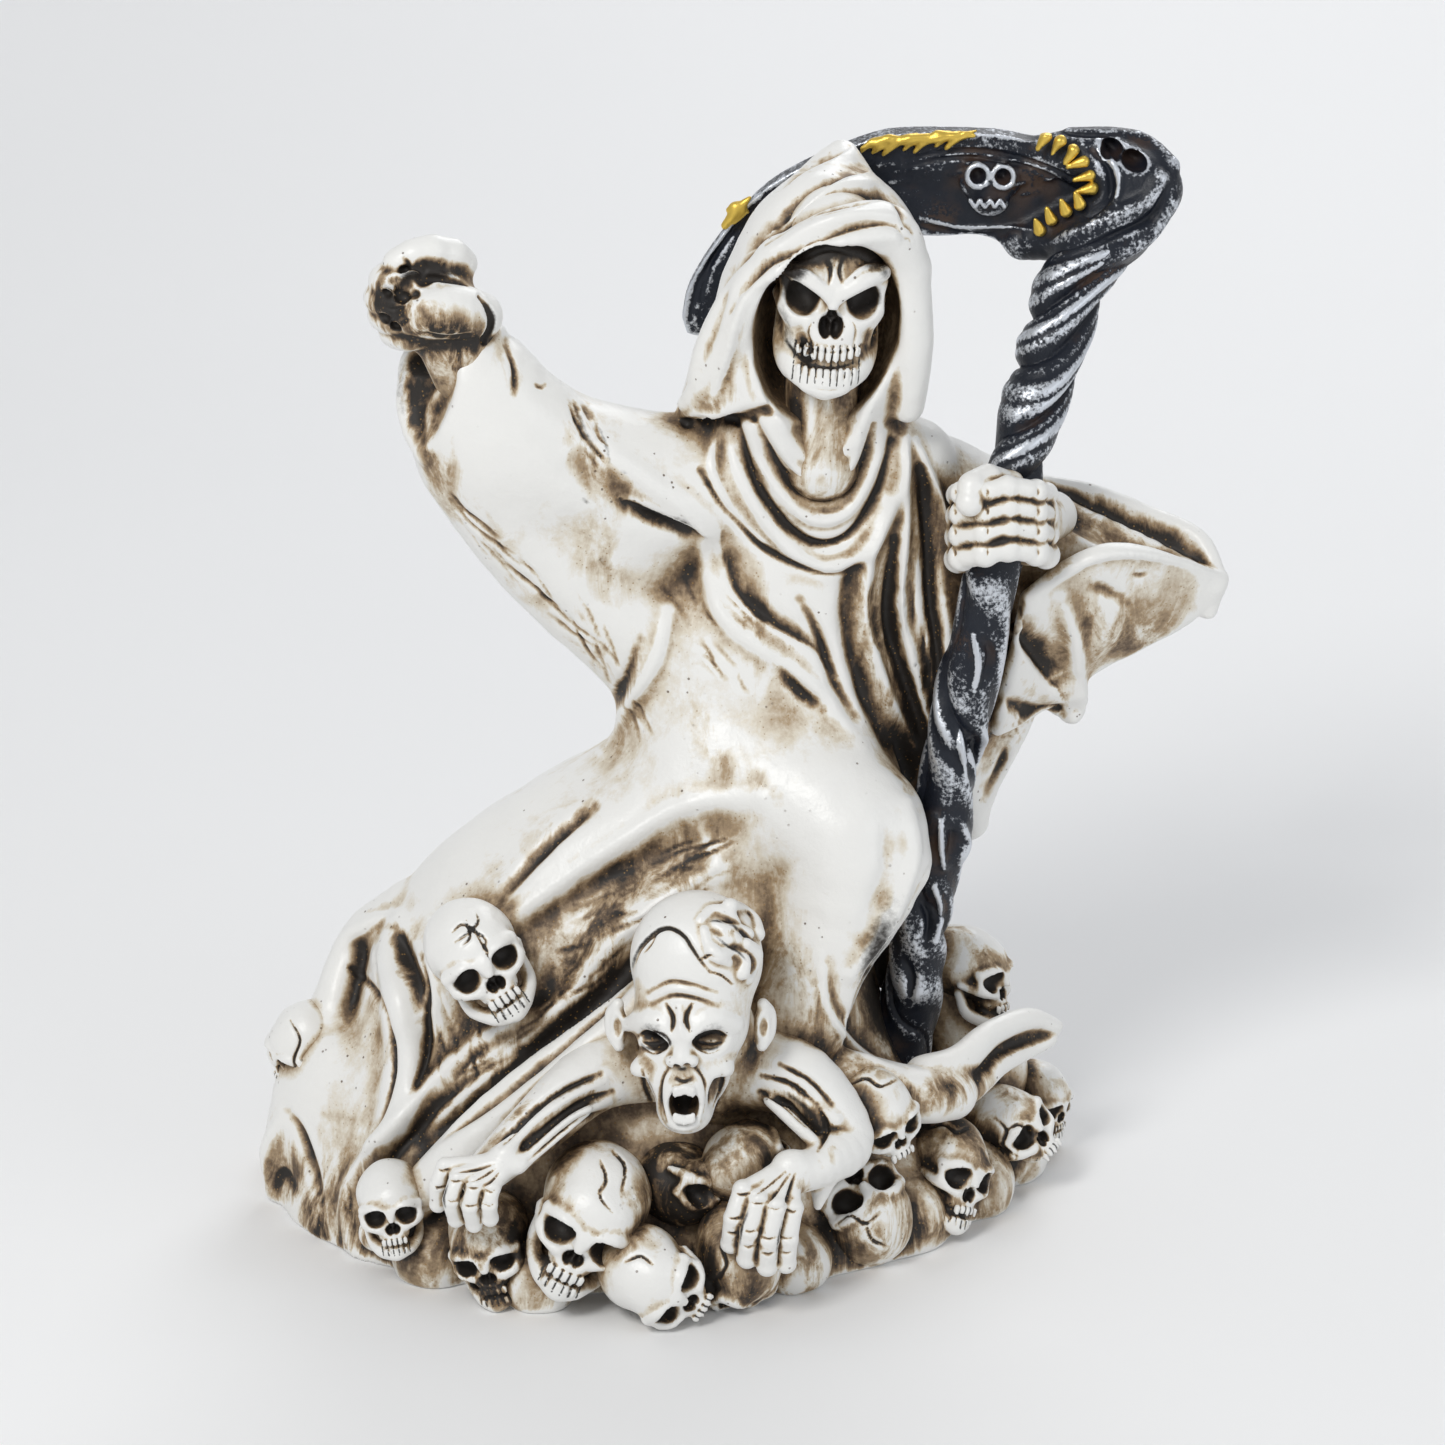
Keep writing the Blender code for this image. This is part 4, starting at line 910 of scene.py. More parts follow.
SIDE_SKULLS = (
    ((-7, -49, 23), 9.5, (0.55, -0.8, -0.2), -150, False, 1.1),
    ((4.5, -50, 27), 8.2, (0.5, 0.5, 0.6), 0, False, 1.0),
    ((30.2, -36, 31.5), 8.4, (0.6, -0.75, -0.2), -16, False, 0.7),
    ((27.4, -37, 10.8), 11, (0.1, -0.7, 0.7), 150, False, 0.9),
    ((44.8, -22, 13.5), 9.6, (0.65, -0.75, 0), 24, True, 0.8),
    ((57.5, -4, 13), 9.6, (0.7, -0.6, 0.4), -20, False, 0.8),
    ((66, 11, 14), 6.6, (0.8, -0.6, -0.2), 0, True, 0.7),
    ((50, 6, 44), 9, (0.9, -0.42, 0), 10, True, 0.9),
)
BACK_SKULLS = (
    ((53, 28, 13), 10.5, (0.6, 0.8, 0), 0, True, 0.4),
    ((26, 42, 13), 10.5, (0.2, 0.95, -0.1), -10, True, 0.3),
    ((-42, 43, 14), 11, (-0.2, 0.95, -0.1), 12, True, 0.4),
    ((-72, 28, 14), 10.5, (-0.7, 0.7, 0), -8, True, 0.3),
)
# Cracks on the skulls
HEAP_CRACKS = (
    (3, -0.7, 0, ((452, 932), (462, 924), (474, 930), (486, 940), (482, 950))),
    (3, -0.7, 0, ((455, 942), (466, 934), (478, 922), (476, 912))),
    (3, -0.7, 0, ((466, 920), (470, 936), (462, 946))),
    (3, -0.8, 0, ((474, 930), (484, 946), (490, 962))),
    (3.2, -0.7, 0, ((600, 1160), (606, 1178), (600, 1196), (612, 1212))),
    (3.2, -0.7, 0, ((612, 1150), (625, 1166), (622, 1190))),
    (3.2, -0.7, 0, ((290, 1020), (300, 1040), (294, 1062), (304, 1080))),
    (3.2, -0.7, 0, ((996, 1118), (1006, 1130), (1002, 1146), (1016, 1156))),
    (3.2, -0.7, 0, ((1006, 1130), (1020, 1124), (1030, 1136))),
    (3.2, -0.7, 0, ((836, 1226), (850, 1216), (866, 1224), (880, 1212))),
    (3.2, -0.7, 0, ((866, 1224), (872, 1240), (886, 1246))),
    (3.2, -0.7, 0, ((735, 1225), (722, 1244), (726, 1266), (712, 1284))),
    (3.2, -0.7, 0, ((850, 1084), (866, 1078), (880, 1086), (896, 1080))),
    (3.2, -0.7, 0, ((928, 1128), (944, 1124), (956, 1132), (968, 1128))),
    (3.2, -0.7, 0, ((625, 1262), (640, 1256), (652, 1264))),
)
HEAP_WASH = (
    (70, 0.7, 0, ((640, 1120), (660, 1180), (640, 1240))),
    (60, 0.6, 0, ((440, 1240), (500, 1260), (520, 1290))),
    (60, 0.8, 0, ((800, 1150), (840, 1190), (900, 1190))),
    (50, 0.8, 0, ((930, 1220), (980, 1190), (1040, 1120))),
    (40, 0.8, 0, ((700, 1230), (720, 1290), (770, 1290))),
    (44, 0.8, 0, ((830, 1230), (860, 1240), (900, 1225))),
    (30, 0.7, 0, ((960, 1130), (985, 1150), (1020, 1140))),
    (30, 0.6, 0, ((480, 1250), (500, 1300), (560, 1310))),
    (40, 0.4, 0, ((850, 1090), (840, 1110), (850, 1130))),
)


def sculpt_heap(skulls, voxel, seed):
    made = {}
    placed = []
    for k, (centre, radius, face, roll, jaw, brown) in enumerate(skulls):
        if jaw not in made:
            made[jaw] = sculpt_skull(voxel, jaw)
        axes, place = skull_frame(centre, face, roll)
        skull = made[jaw].moved(axes * radius, place)
        skull.points += skull.normals() * 0.28 * rough_noise(skull.points, 4.5, seed + k)[:, None]
        patches = 0.7 + 0.6 * rough_noise(skull.points, 6, seed + k + 1)
        skull.paint["wash"] = brown * np.clip(patches, 0.1, 1.4)
        placed.append(skull)
    heap = joined(placed)
    heap.crack(HEAP_CRACKS)
    heap.wash(HEAP_WASH)
    heap.points[:, 2] = np.maximum(heap.points[:, 2], GROUND)
    return heap


def sculpt_hooded_skull():
    """Skull in the hood with its cords of neck."""
    skull = sculpt_skull(HOODED_SKULL_VOXEL, True, 9, 0.5, 1.0)
    turn = turned((0, 5, 3))
    skull = skull.moved(turn @ np.diag((12.6, 12.3, 16.6)), (20.5, -13.2, 195.6))
    skull.draw(SKULL_LINES)
    skull.wash(SKULL_INK_AND_SHADOW, "ink")
    f = Field((6, -24, 150), (33, 4, 186), NECK_VOXEL)
    f.limb((20.0, -8, 185, 7.4), (19.4, -10.5, 172, 7.6), (19.2, -12, 158, 7.4), blend=1)
    for x, r in ((-5.2, 1.6), (-2.2, 1.3), (0.8, 1.2), (4.4, 1.6)):
        y = -17.4 + 0.12 * x * x
        f.limb(
            (20.4 + 1.1 * x, y + 1.4, 183, r), (19.6 + x, y, 172, r), (19 + 0.7 * x, y - 0.6, 159, r),
            blend=1.8,
        )
    neck = f.skin()
    neck.paint["wash"] = np.full(len(neck.points), 0.62)
    whole = joined((skull, neck))
    whole.wash(SKULL_WASH_AND_SHADE)
    return whole


SKULL_LINES = (
    # Cheek hollows and lines beside the nose
    (12, -0.9, 0, ((800, 330), (806, 350), (812, 364))),
    (12, -0.9, 0, ((874, 326), (868, 346), (860, 362))),
    (3, -0.5, 0, ((812, 322), (808, 334), (812, 346))),
    (3, -0.5, 0, ((850, 318), (856, 330), (854, 344))),
    # Frown
    (5, 0.7, 0, ((790, 270), (806, 272), (822, 284))),
    (5, 0.7, 0, ((884, 266), (864, 268), (846, 282))),
    (3, -0.6, 0, ((826, 262), (830, 272), (829, 284))),
    (3, -0.6, 0, ((840, 262), (839, 272), (842, 282))),
    (3, -0.4, 0, ((806, 258), (830, 250), (856, 256))),
    (3, -0.4, 0, ((858, 256), (870, 262), (876, 258))),
    # Roots of the teeth and the chin
    (3, -0.4, 0, ((804, 346), (816, 350), (840, 352), (864, 346))),
    (3, -0.3, 0, ((812, 388), (828, 391), (846, 388))),
)
SKULL_INK_AND_SHADOW = (
    (3.5, 1.0, 0, ((786, 341), (805, 362), (833, 368), (860, 361))),
    # Shadow painted under the hood
    (30, 0.9, 0, ((770, 276), (800, 258), (835, 248), (880, 252), (896, 266))),
    (16, 0.5, 0, ((776, 286), (792, 276), (810, 276))),
    (16, 0.4, 0, ((862, 270), (880, 268), (892, 284))),
    (20, 0.5, 0, ((778, 300), (784, 326), (796, 352))),
    (20, 0.5, 0, ((892, 300), (888, 326), (876, 350))),
    (4, 0.7, 0, ((826, 258), (831, 268), (830, 280))),
    (4, 0.7, 0, ((843, 258), (840, 268), (842, 280))),
)
SKULL_WASH_AND_SHADE = (
    (20, 0.8, 0, ((798, 326), (804, 350), (810, 366))),
    (20, 0.8, 0, ((876, 322), (868, 346), (860, 364))),
    # Painted shade on the forehead under the hood's rim
    (30, 1.2, 0, ((780, 268), (830, 252), (880, 256))),
    (10, 0.9, 0, ((834, 262), (835, 276))),
    (12, 0.5, 0, ((816, 340), (850, 338))),
    (12, 0.5, 0, ((800, 300), (812, 318))),
)


def finger(f, stations, thick, knuckle=1.25, blend=0.4):
    """Bony finger: thin bones with a bulge at each joint."""
    f.limb(*((x, y, z, thick) for x, y, z in stations), blend=blend, steps=3)
    for x, y, z in stations:
        f.ball((x, y, z), thick * knuckle, blend=blend)


def sculpt_raised_fist():
    f = Field((-74, -34, 166), (-38, 0, 206), SMALL_VOXEL)
    f.limb((-44, -14, 168, 7.0), (-48, -15.5, 176, 7.0), (-51, -17, 184, 7.2), blend=2)
    f.ball(pic(*FIST_MIDDLE), (9.8, 9.4, 9.2), blend=2)
    for px, py, y, r in KNUCKLES:
        f.limb(pic(px, py, y, r), pic(0.4 * px + 262, 0.4 * py + 165, -15, 2.8), blend=2.2)
    for k, (px, py) in enumerate(CURLED_FINGERS):
        y = -19.5 + 0.6 * k
        f.limb(
            pic(px + 26, py - 10, y + 1, 3.1), pic(px + 3, py, y, 3.0), pic(px + 15, py + 7, y - 4, 2.8),
            pic(px + 30, py + 4, y - 5, 2.6), blend=0.7,
        )
    f.limb(*pics(THUMB), blend=0.7)
    f.limb(*(f.on(px, py, r, sink=sink) for px, py, r, sink in PALM_CLEFT), blend=0.5, carve=True)
    for px, py, r in FIST_PITS:
        f.ball(f.on(px, py, sink=-0.1), (r, 1.5, 0.8 * r), blend=0.5, carve=True)
    f.limb(*f.route(WRIST_GROOVE, 0.0), blend=0.4, carve=True)
    skin = f.skin()
    skin.draw(FIST_LINES)
    skin.wash(FIST_WASH_AND_SHADE)
    skin.wash(FIST_INK_AND_SHADE, "ink")
    return skin


FIST_MIDDLE = (426, 303, -17)
# Knuckles along the top, fingers curled in at the left, the thumb laid over them
KNUCKLES = (
    *((398, 264, -20, 3.0), (414, 255, -20, 3.1), (433, 251, -19, 3.2)),
    *((452, 254, -17, 3.1), (463, 263, -15, 2.8)),
)
CURLED_FINGERS = ((381, 280), (376, 297), (380, 314), (391, 330))
THUMB = ((478, 316, -18, 4.8), (456, 312, -22, 5.4), (430, 312, -24, 5.0), (414, 315, -24, 3.9))
# Stations on the form: (right, down, radius, how far pushed in)
PALM_CLEFT = (
    *((404, 288, 2.0, 0.6), (416, 282, 1.6, 0.6), (430, 279, 1.0, 0.5)),
    *((446, 280, 0.8, 0.3), (464, 284, 0.6, 0.1)),
)
FIST_PITS = (
    *((394, 279, 1.5), (403, 297, 1.6), (414, 294, 1.2), (386, 294, 1.2)),
    *((384, 318, 1.3), (396, 327, 1.2), (404, 270, 1.0)),
)
WRIST_GROOVE = ((481, 298, 0.9), (491, 318, 1.1), (484, 340, 1.0))
FIST_INK_AND_SHADE = (
    # Slot under the knuckles and the underside: ink and painted shade
    (15, 0.9, 0, ((398, 282), (412, 276), (436, 271), (464, 275))),
    (30, 0.15, 0, ((404, 330), (440, 340), (478, 332))),
    (26, 0.35, 0, ((378, 286), (382, 308), (398, 332))),
    (9, 0.9, 0, ((482, 300), (492, 320), (484, 344))),
    (14, 0.7, 0, ((384, 286), (390, 300), (394, 322))),
    (10, 0.6, 0, ((412, 343), (440, 348), (474, 344))),
)
FIST_LINES = (
    (4, -0.6, 0, ((386, 290), (394, 293), (402, 290))),
    (4, -0.6, 0, ((384, 306), (394, 310), (404, 306))),
    (4, -0.6, 0, ((388, 322), (398, 325), (408, 320))),
    (5, -0.4, 0, ((404, 258), (408, 264), (407, 272))),
    (5, -0.4, 0, ((424, 262), (426, 268), (422, 276))),
    (5, -0.3, 0, ((446, 262), (444, 268), (447, 276))),
    (5, -0.6, 0, ((420, 332), (446, 338), (474, 334))),
)
FIST_WASH_AND_SHADE = (
    (48, 1.7, 0, ((376, 278), (380, 308), (396, 338))),
    # Heel and underside, darker than the lit top: brown wash and painted shade
    (46, 1.0, 0, ((412, 322), (436, 334), (474, 338))),
    (34, 0.7, 0, ((410, 302), (424, 316), (446, 322), (480, 318))),
    (18, 1.4, 0, ((396, 272), (428, 268), (464, 272))),
    (26, 1.5, 0, ((412, 340), (445, 344), (482, 338))),
    (40, 1.8, 0, ((424, 366), (450, 366), (484, 352))),
    (30, 0.6, 0, ((410, 330), (445, 334), (482, 324))),
    (50, 0.7, 0, ((384, 270), (392, 300), (404, 330))),
    (16, 1.1, 0, ((400, 280), (420, 276), (460, 278))),
    (14, 0.5, 0, ((400, 262), (430, 262), (458, 266))),
)


def sculpt_staff_fist():
    f = Field((40, -30, 128), (76, 6, 168), SMALL_VOXEL)
    f.limb((65, 2, 143, 5.0), (61.5, -5, 144, 5.4), blend=2)
    f.ball(pic(*BACK_OF_HAND), (6.0, 7.8, 9.0), blend=1.5)
    for k, py in enumerate(FINGER_ROWS):
        joints = [at(px, py + down + k * more, y) for px, down, more, y in FINGER_COURSE]
        finger(f, joints, 1.95 + 0.12 * k, 1.22)
    f.ball(pic(*FINGERTIPS), (4.6, 6, 8.6), blend=1)
    finger(f, pics(STAFF_THUMB), 2.5, 1.12)
    skin = f.skin()
    skin.draw(STAFF_FIST_LINES)
    skin.wash(STAFF_FIST_WASH)
    return skin


BACK_OF_HAND = (1028, 520, -9.5)
FINGERTIPS = (972, 530, -11)
FINGER_ROWS = (491, 511, 531, 552)
# Course of each finger: (right, down from its row, more for each row, y in mm)
FINGER_COURSE = (
    *((1046, 3, 0, -12.5), (1036, 0, 0, -19.3), (1008, -4, 0, -21.8)),
    *((985, 1, 0, -22.4), (962, 2, 1, -18.5), (958, 4, 1, -12)),
)
STAFF_THUMB = ((1010, 484, -15), (988, 478, -19), (972, 486, -22), (970, 502, -23.6))
STAFF_FIST_LINES = tuple(
    (3, -0.45, 0, ((px - 1, py - 4), (px, py), (px - 1, py + 4)))
    for py in (492, 512, 532, 553)
    for px in (955, 988, 1039)
)
STAFF_FIST_WASH = (
    (12, 1.1, 0, ((955, 503), (985, 502), (1010, 498), (1042, 503))),
    (11, 1.1, 0, ((955, 523), (985, 522), (1010, 518), (1042, 523))),
    (11, 1.1, 0, ((955, 544), (985, 543), (1010, 539), (1042, 544))),
    (24, 0.7, 0, ((1052, 480), (1056, 520), (1052, 560))),
)


def bony_hand(f, thick, wrist, knuckles, bends, tips):
    """Thin hand: a bone for each finger from the wrist to its tip."""
    for knuckle, bend, tip in zip(knuckles, bends, tips):
        spread = 0.55 * np.array(wrist) + 0.45 * np.array(knuckle)
        f.limb((*spread, 1.7), (*knuckle, 1.7), blend=0.9)
        finger(f, (knuckle, bend, tip), thick, 1.1, 0.15)
    f.ball(wrist, (3.3, 2.6, 2.8), blend=3)


TORN = (
    ((701, 920), (712, 911), (726, 914), (736, 922)),
    ((716, 926), (726, 932), (738, 928), (748, 934)),
    ((730, 906), (744, 909), (754, 920), (757, 934)),
    ((709, 936), (720, 942), (732, 938), (742, 946)),
    ((746, 944), (755, 954), (754, 968), (748, 978)),
    ((722, 954), (734, 952), (744, 960), (742, 972)),
    ((704, 930), (708, 944), (716, 954), (728, 962)),
)


FACE_MIDDLE = 682
# Places of the face: (right of its middle, down)
FACE_EYE = (29, 1041)
CHEEKBONE = (36, 1066)
CHEEK_HOLLOW = (38, 1094)
# Stations of the brow: (right of the middle, down, radius, how far pushed in)
BROW = ((53, 1024, 1.5, 1.0), (30, 1019, 2.1, 0.8), (8, 1034, 1.7, 0.4))
# Stations of the nose: (down, radius, how far pushed in)
NOSE = ((1030, 1.3, 0.6), (1046, 1.6, 0.2), (1058, 1.9, -0.4))
NOSE_WING = 1061
NOSTRIL = 1067
MOUTH = (684, 1105)
TEETH_Y = -67
CHIN = (686, 1139)
# Ears: (right, side), and their rim by (outwards, down, y, radius)
EARS = ((615, -1), (766, 1))
EAR_DOWN = 1028
EAR_RIM = ((-3, 1004, -53, 1.2), (3, 1014, -51.5, 1.4), (3, 1032, -52, 1.3), (-4, 1046, -54, 1.1))
SINEWS = (
    ((560, 1095, -54, 1.3), (505, 1150, -64, 1.3)),
    ((585, 1110, -56, 1.3), (520, 1165, -65, 1.3)),
    ((790, 1080, -48, 1.4), (835, 1120, -51, 1.4)),
    ((770, 1100, -50, 1.3), (812, 1140, -54, 1.3)),
)
TORN_FLESH = ((830, 1160, -54, 3.0), (822, 1185, -56, 2.2), (818, 1206, -57, 0.9))
# Hands: thickness of the bones, wrist, knuckles, bends of the fingers, tips
HANDS = (
    (
        1.95,
        (790, 1164, -60),
        ((743, 1190, -66), (758, 1199, -67.5), (776, 1206, -68), (793, 1208, -66)),
        ((734, 1218, -68), (750, 1231, -69.5), (769, 1239, -70), (788, 1239, -68)),
        ((731, 1243, -66.5), (747, 1258, -68), (767, 1266, -68.5), (786, 1263, -67)),
    ),
    (
        1.6,
        (503, 1162, -64),
        ((445, 1166, -65), (458, 1177, -67.5), (475, 1185, -69), (492, 1188, -69)),
        ((438, 1185, -66), (451, 1200, -69), (470, 1206, -70), (489, 1205, -70)),
        ((438, 1204, -65), (456, 1219, -67), (474, 1224, -68), (490, 1218, -69)),
    ),
)


def add_face(f):
    """Screaming face, ears and torn scalp of the corpse."""
    # Brows, cheeks, eyelids
    for s in (-1, 1):
        eye, cheek, hollow = (
            (FACE_MIDDLE + s * px, py) for px, py in (FACE_EYE, CHEEKBONE, CHEEK_HOLLOW)
        )
        f.limb(*(f.on(FACE_MIDDLE + s * px, py, r, sink=sink) for px, py, r, sink in BROW), blend=1.4)
        f.ball(f.on(*cheek, sink=1.6), (3.2, 2.6, 2.2), (0, s * 20, 0), blend=1.6)
        f.ball(f.on(*eye, sink=0.2), (3.9, 2.9, 2.3), (0, s * 8, 0), blend=0.7, carve=True)
        f.ball(f.on(*eye, sink=1.0), (2.9, 1.9, 1.6), (0, s * 8, 0), blend=0.25)
        f.ball(f.on(*hollow, sink=0.4), (2.6, 3.0, 4.6), (0, s * -12, 0), blend=1.4, carve=True)
    # Nose
    f.limb(*(f.on(FACE_MIDDLE, py, r, sink=sink) for py, r, sink in NOSE), blend=0.9)
    for s in (-1, 1):
        f.ball(f.on(FACE_MIDDLE + s * 9, NOSE_WING, sink=0.3), (1.5, 1.5, 1.3), blend=0.4)
    for s in (-1, 1):
        f.ball(f.on(FACE_MIDDLE + s * 5, NOSTRIL), (0.8, 1.6, 0.8), blend=0.2, carve=True)
    # Open mouth with its teeth, and the chin
    mouth_x, mouth_y = MOUTH
    turns = np.linspace(0, 2 * math.pi, 13)
    ring = [(mouth_x + 16 * math.cos(t), mouth_y + 21 * math.sin(t), 1.25) for t in turns]
    f.limb(*f.route(ring, 0.4), blend=1.0)
    f.ball(f.on(*MOUTH, sink=-0.5), (2.9, 6.4, 4.0), blend=0.4, carve=True)
    for s in (-1, 1):
        for k in range(-2, 3):
            px, lift = mouth_x + 4.4 * k, 1.2 * abs(k)
            root, tip = mouth_y + s * (18 - lift), mouth_y + s * (12 - lift)
            f.limb(pic(px, root, TEETH_Y, 0.62), pic(px, tip, TEETH_Y, 0.5), blend=0.1)
    f.ball(f.on(*CHIN, sink=1.8), (4.2, 3.0, 2.5), blend=1.6)
    # Ears
    for px, side in EARS:
        f.limb(*(pic(px + side * out, py, y, r) for out, py, y, r in EAR_RIM), blend=0.6)
        f.ball(pic(px - 4 * side, EAR_DOWN - 2, -53), (1.6, 2.4, 4), blend=0.8)
        f.ball(f.on(px - side, EAR_DOWN), (1.1, 1.4, 2.6), blend=0.4, carve=True)
    # Torn scalp with its lumps
    for k, strand in enumerate(TORN):
        f.limb(
            *(f.on(px, py, 0.9 + 0.35 * ((i + k) % 3), sink=0.3) for i, (px, py) in enumerate(strand)),
            blend=0.35,
        )


def add_arms(f):
    """Wasted arms and bony hands of the corpse."""
    # Arms
    f.limb((-8, -42, 46, 8.6), (-24, -46, 44, 7.0), (-36, -55, 37, 5.6), (-47, -61.5, 29, 3.9), blend=2)
    f.limb(
        (2, -40, 44, 8.6), (15, -43, 41, 7.6), (23.5, -47, 31, 6.2), (20, -55, 29.5, 4.6),
        (14, -60, 28.5, 3.5), blend=2,
    )
    for sinew in SINEWS:
        f.limb(*pics(sinew), blend=0.8)
    f.limb(*pics(TORN_FLESH), blend=1)
    for thick, wrist, *rows in HANDS:
        bony_hand(f, thick, pic(*wrist), *(pics(row) for row in rows))


def sculpt_crawler():
    f = Field((-62, -76.4, 4), (34, -22, 86), LARGE_VOXEL)
    # Trunk and neck
    f.limb((-5, -47, 58, 9.5), (-4, -38, 46, 12.5), (0, -28, 36, 14.5), blend=3)
    # Head
    f.ball((-5, -51, 70.5), (12.8, 12.8, 13.3), blend=2)
    f.ball((-6, -55.5, 60), (11.2, 10.4, 11), blend=3)
    f.ball((-7, -58.5, 50.5), (8.6, 7.6, 9), blend=3)
    f.ball((-7.2, -60.5, 43.0), (5.4, 5.2, 4.6), blend=2)
    add_face(f)
    add_arms(f)
    skin = f.skin()
    skin.soften(1)
    skin.draw(CRAWLER_LINES)
    skin.wash(CRAWLER_WASH)
    skin.wash(CRAWLER_INK, "ink")
    return skin


# Joints of the hands: centre and half width of the line across each finger
JOINTS = (
    *((742, 1194, 7), (758, 1203, 7), (776, 1209, 7), (793, 1211, 7)),
    *((734, 1218, 7), (750, 1231, 7), (769, 1238, 7), (788, 1238, 7)),
    *((732, 1233, 6), (748, 1247, 6), (768, 1254, 6), (787, 1253, 6)),
    *((443, 1170, 6), (456, 1181, 6), (474, 1188, 6), (491, 1191, 6)),
    *((439, 1187, 6), (452, 1201, 6), (470, 1206, 6), (489, 1205, 6)),
)
SCALP_CRACK = (
    *((630, 986), (633, 965), (640, 948), (656, 932), (670, 928)),
    *((684, 936), (692, 948), (700, 960), (710, 972)),
)
FINGER_GAPS = (
    ((750, 1206), (742, 1228), (739, 1250)),
    ((767, 1210), (759, 1236), (757, 1262)),
    ((785, 1214), (779, 1238), (776, 1264)),
    ((450, 1180), (444, 1196), (446, 1212)),
    ((466, 1186), (460, 1204), (464, 1222)),
    ((484, 1190), (480, 1206), (483, 1220)),
)
CRAWLER_LINES = (
    *((2.6, -0.55, 0, ((px - w, py - 1), (px, py + 1), (px + w, py - 1))) for px, py, w in JOINTS),
    # Bones of the hands
    (3, -0.6, 0, ((785, 1172), (768, 1186), (752, 1196))),
    (3, -0.6, 0, ((790, 1174), (778, 1190), (768, 1202))),
    (3, -0.6, 0, ((795, 1174), (790, 1190), (785, 1206))),
    (3, -0.6, 0, ((494, 1164), (474, 1170), (452, 1172))),
    (3, -0.6, 0, ((496, 1168), (482, 1177), (467, 1182))),
    (3, -0.6, 0, ((500, 1172), (492, 1180), (484, 1186))),
    # Crack across the scalp
    (4, -0.9, 0, SCALP_CRACK),
    (3, -0.7, 0, ((656, 932), (650, 944), (642, 954))),
    (3, -0.7, 0, ((700, 960), (708, 956), (716, 958))),
    (3, -0.6, 0, ((710, 972), (722, 976), (732, 984))),
    # Wrinkles
    (5, -0.5, 0, ((648, 992), (668, 982), (690, 984), (716, 992))),
    (5, -0.5, 0, ((652, 1004), (672, 996), (694, 998), (718, 1006))),
    (6, 0.4, 0, ((650, 998), (670, 989), (692, 991), (716, 998))),
    (4, -0.8, 0, ((666, 1004), (673, 1018), (671, 1032))),
    (4, -0.8, 0, ((692, 1004), (686, 1018), (690, 1032))),
    (6, 0.5, 0, ((679, 1008), (680, 1022), (681, 1036))),
    # Eyelids and the dark rims round them
    (2.4, -0.6, 0, ((643, 1042), (653, 1044), (664, 1042))),
    (2.4, -0.6, 0, ((700, 1042), (711, 1044), (721, 1042))),
    (3, -0.6, 0, ((638, 1036), (650, 1032), (664, 1036), (669, 1043))),
    (3, -0.6, 0, ((726, 1036), (714, 1032), (700, 1036), (695, 1043))),
    (3, -0.5, 0, ((640, 1047), (653, 1053), (667, 1048))),
    (3, -0.5, 0, ((724, 1047), (711, 1053), (697, 1048))),
    # Beside the nose and the mouth
    (3.5, -0.7, 0, ((670, 1066), (662, 1080), (660, 1100), (666, 1122))),
    (3.5, -0.7, 0, ((694, 1066), (704, 1080), (708, 1100), (702, 1122))),
    (3, -0.6, 0, ((642, 1070), (646, 1090), (656, 1112))),
    (3, -0.6, 0, ((723, 1072), (720, 1090), (713, 1112))),
    (3.5, -0.6, 0, ((670, 1131), (684, 1134), (698, 1131))),
    (3, -0.5, 0, ((676, 1078), (684, 1081), (692, 1078))),
    # Sinews of the arms
    (7, -1.3, 0, ((600, 1074), (566, 1088), (530, 1112))),
    (7, -1.3, 0, ((612, 1092), (576, 1106), (536, 1136))),
    (6, -1.1, 0, ((606, 1112), (570, 1126), (530, 1160))),
    (6, -1.1, 0, ((548, 1098), (520, 1124), (500, 1146))),
    (6, 0.7, 0, ((606, 1082), (572, 1096), (534, 1122))),
    (6, 0.7, 0, ((610, 1102), (574, 1116), (536, 1148))),
    (6, -1.1, 0, ((762, 1076), (790, 1084), (816, 1104))),
    (6, -1.1, 0, ((760, 1092), (786, 1104), (806, 1124))),
    (6, -1.1, 0, ((780, 1064), (810, 1080), (832, 1104))),
    (5, -0.9, 0, ((820, 1110), (826, 1130), (818, 1150))),
    (6, -0.9, 0, ((640, 1150), (660, 1160), (690, 1160))),
)
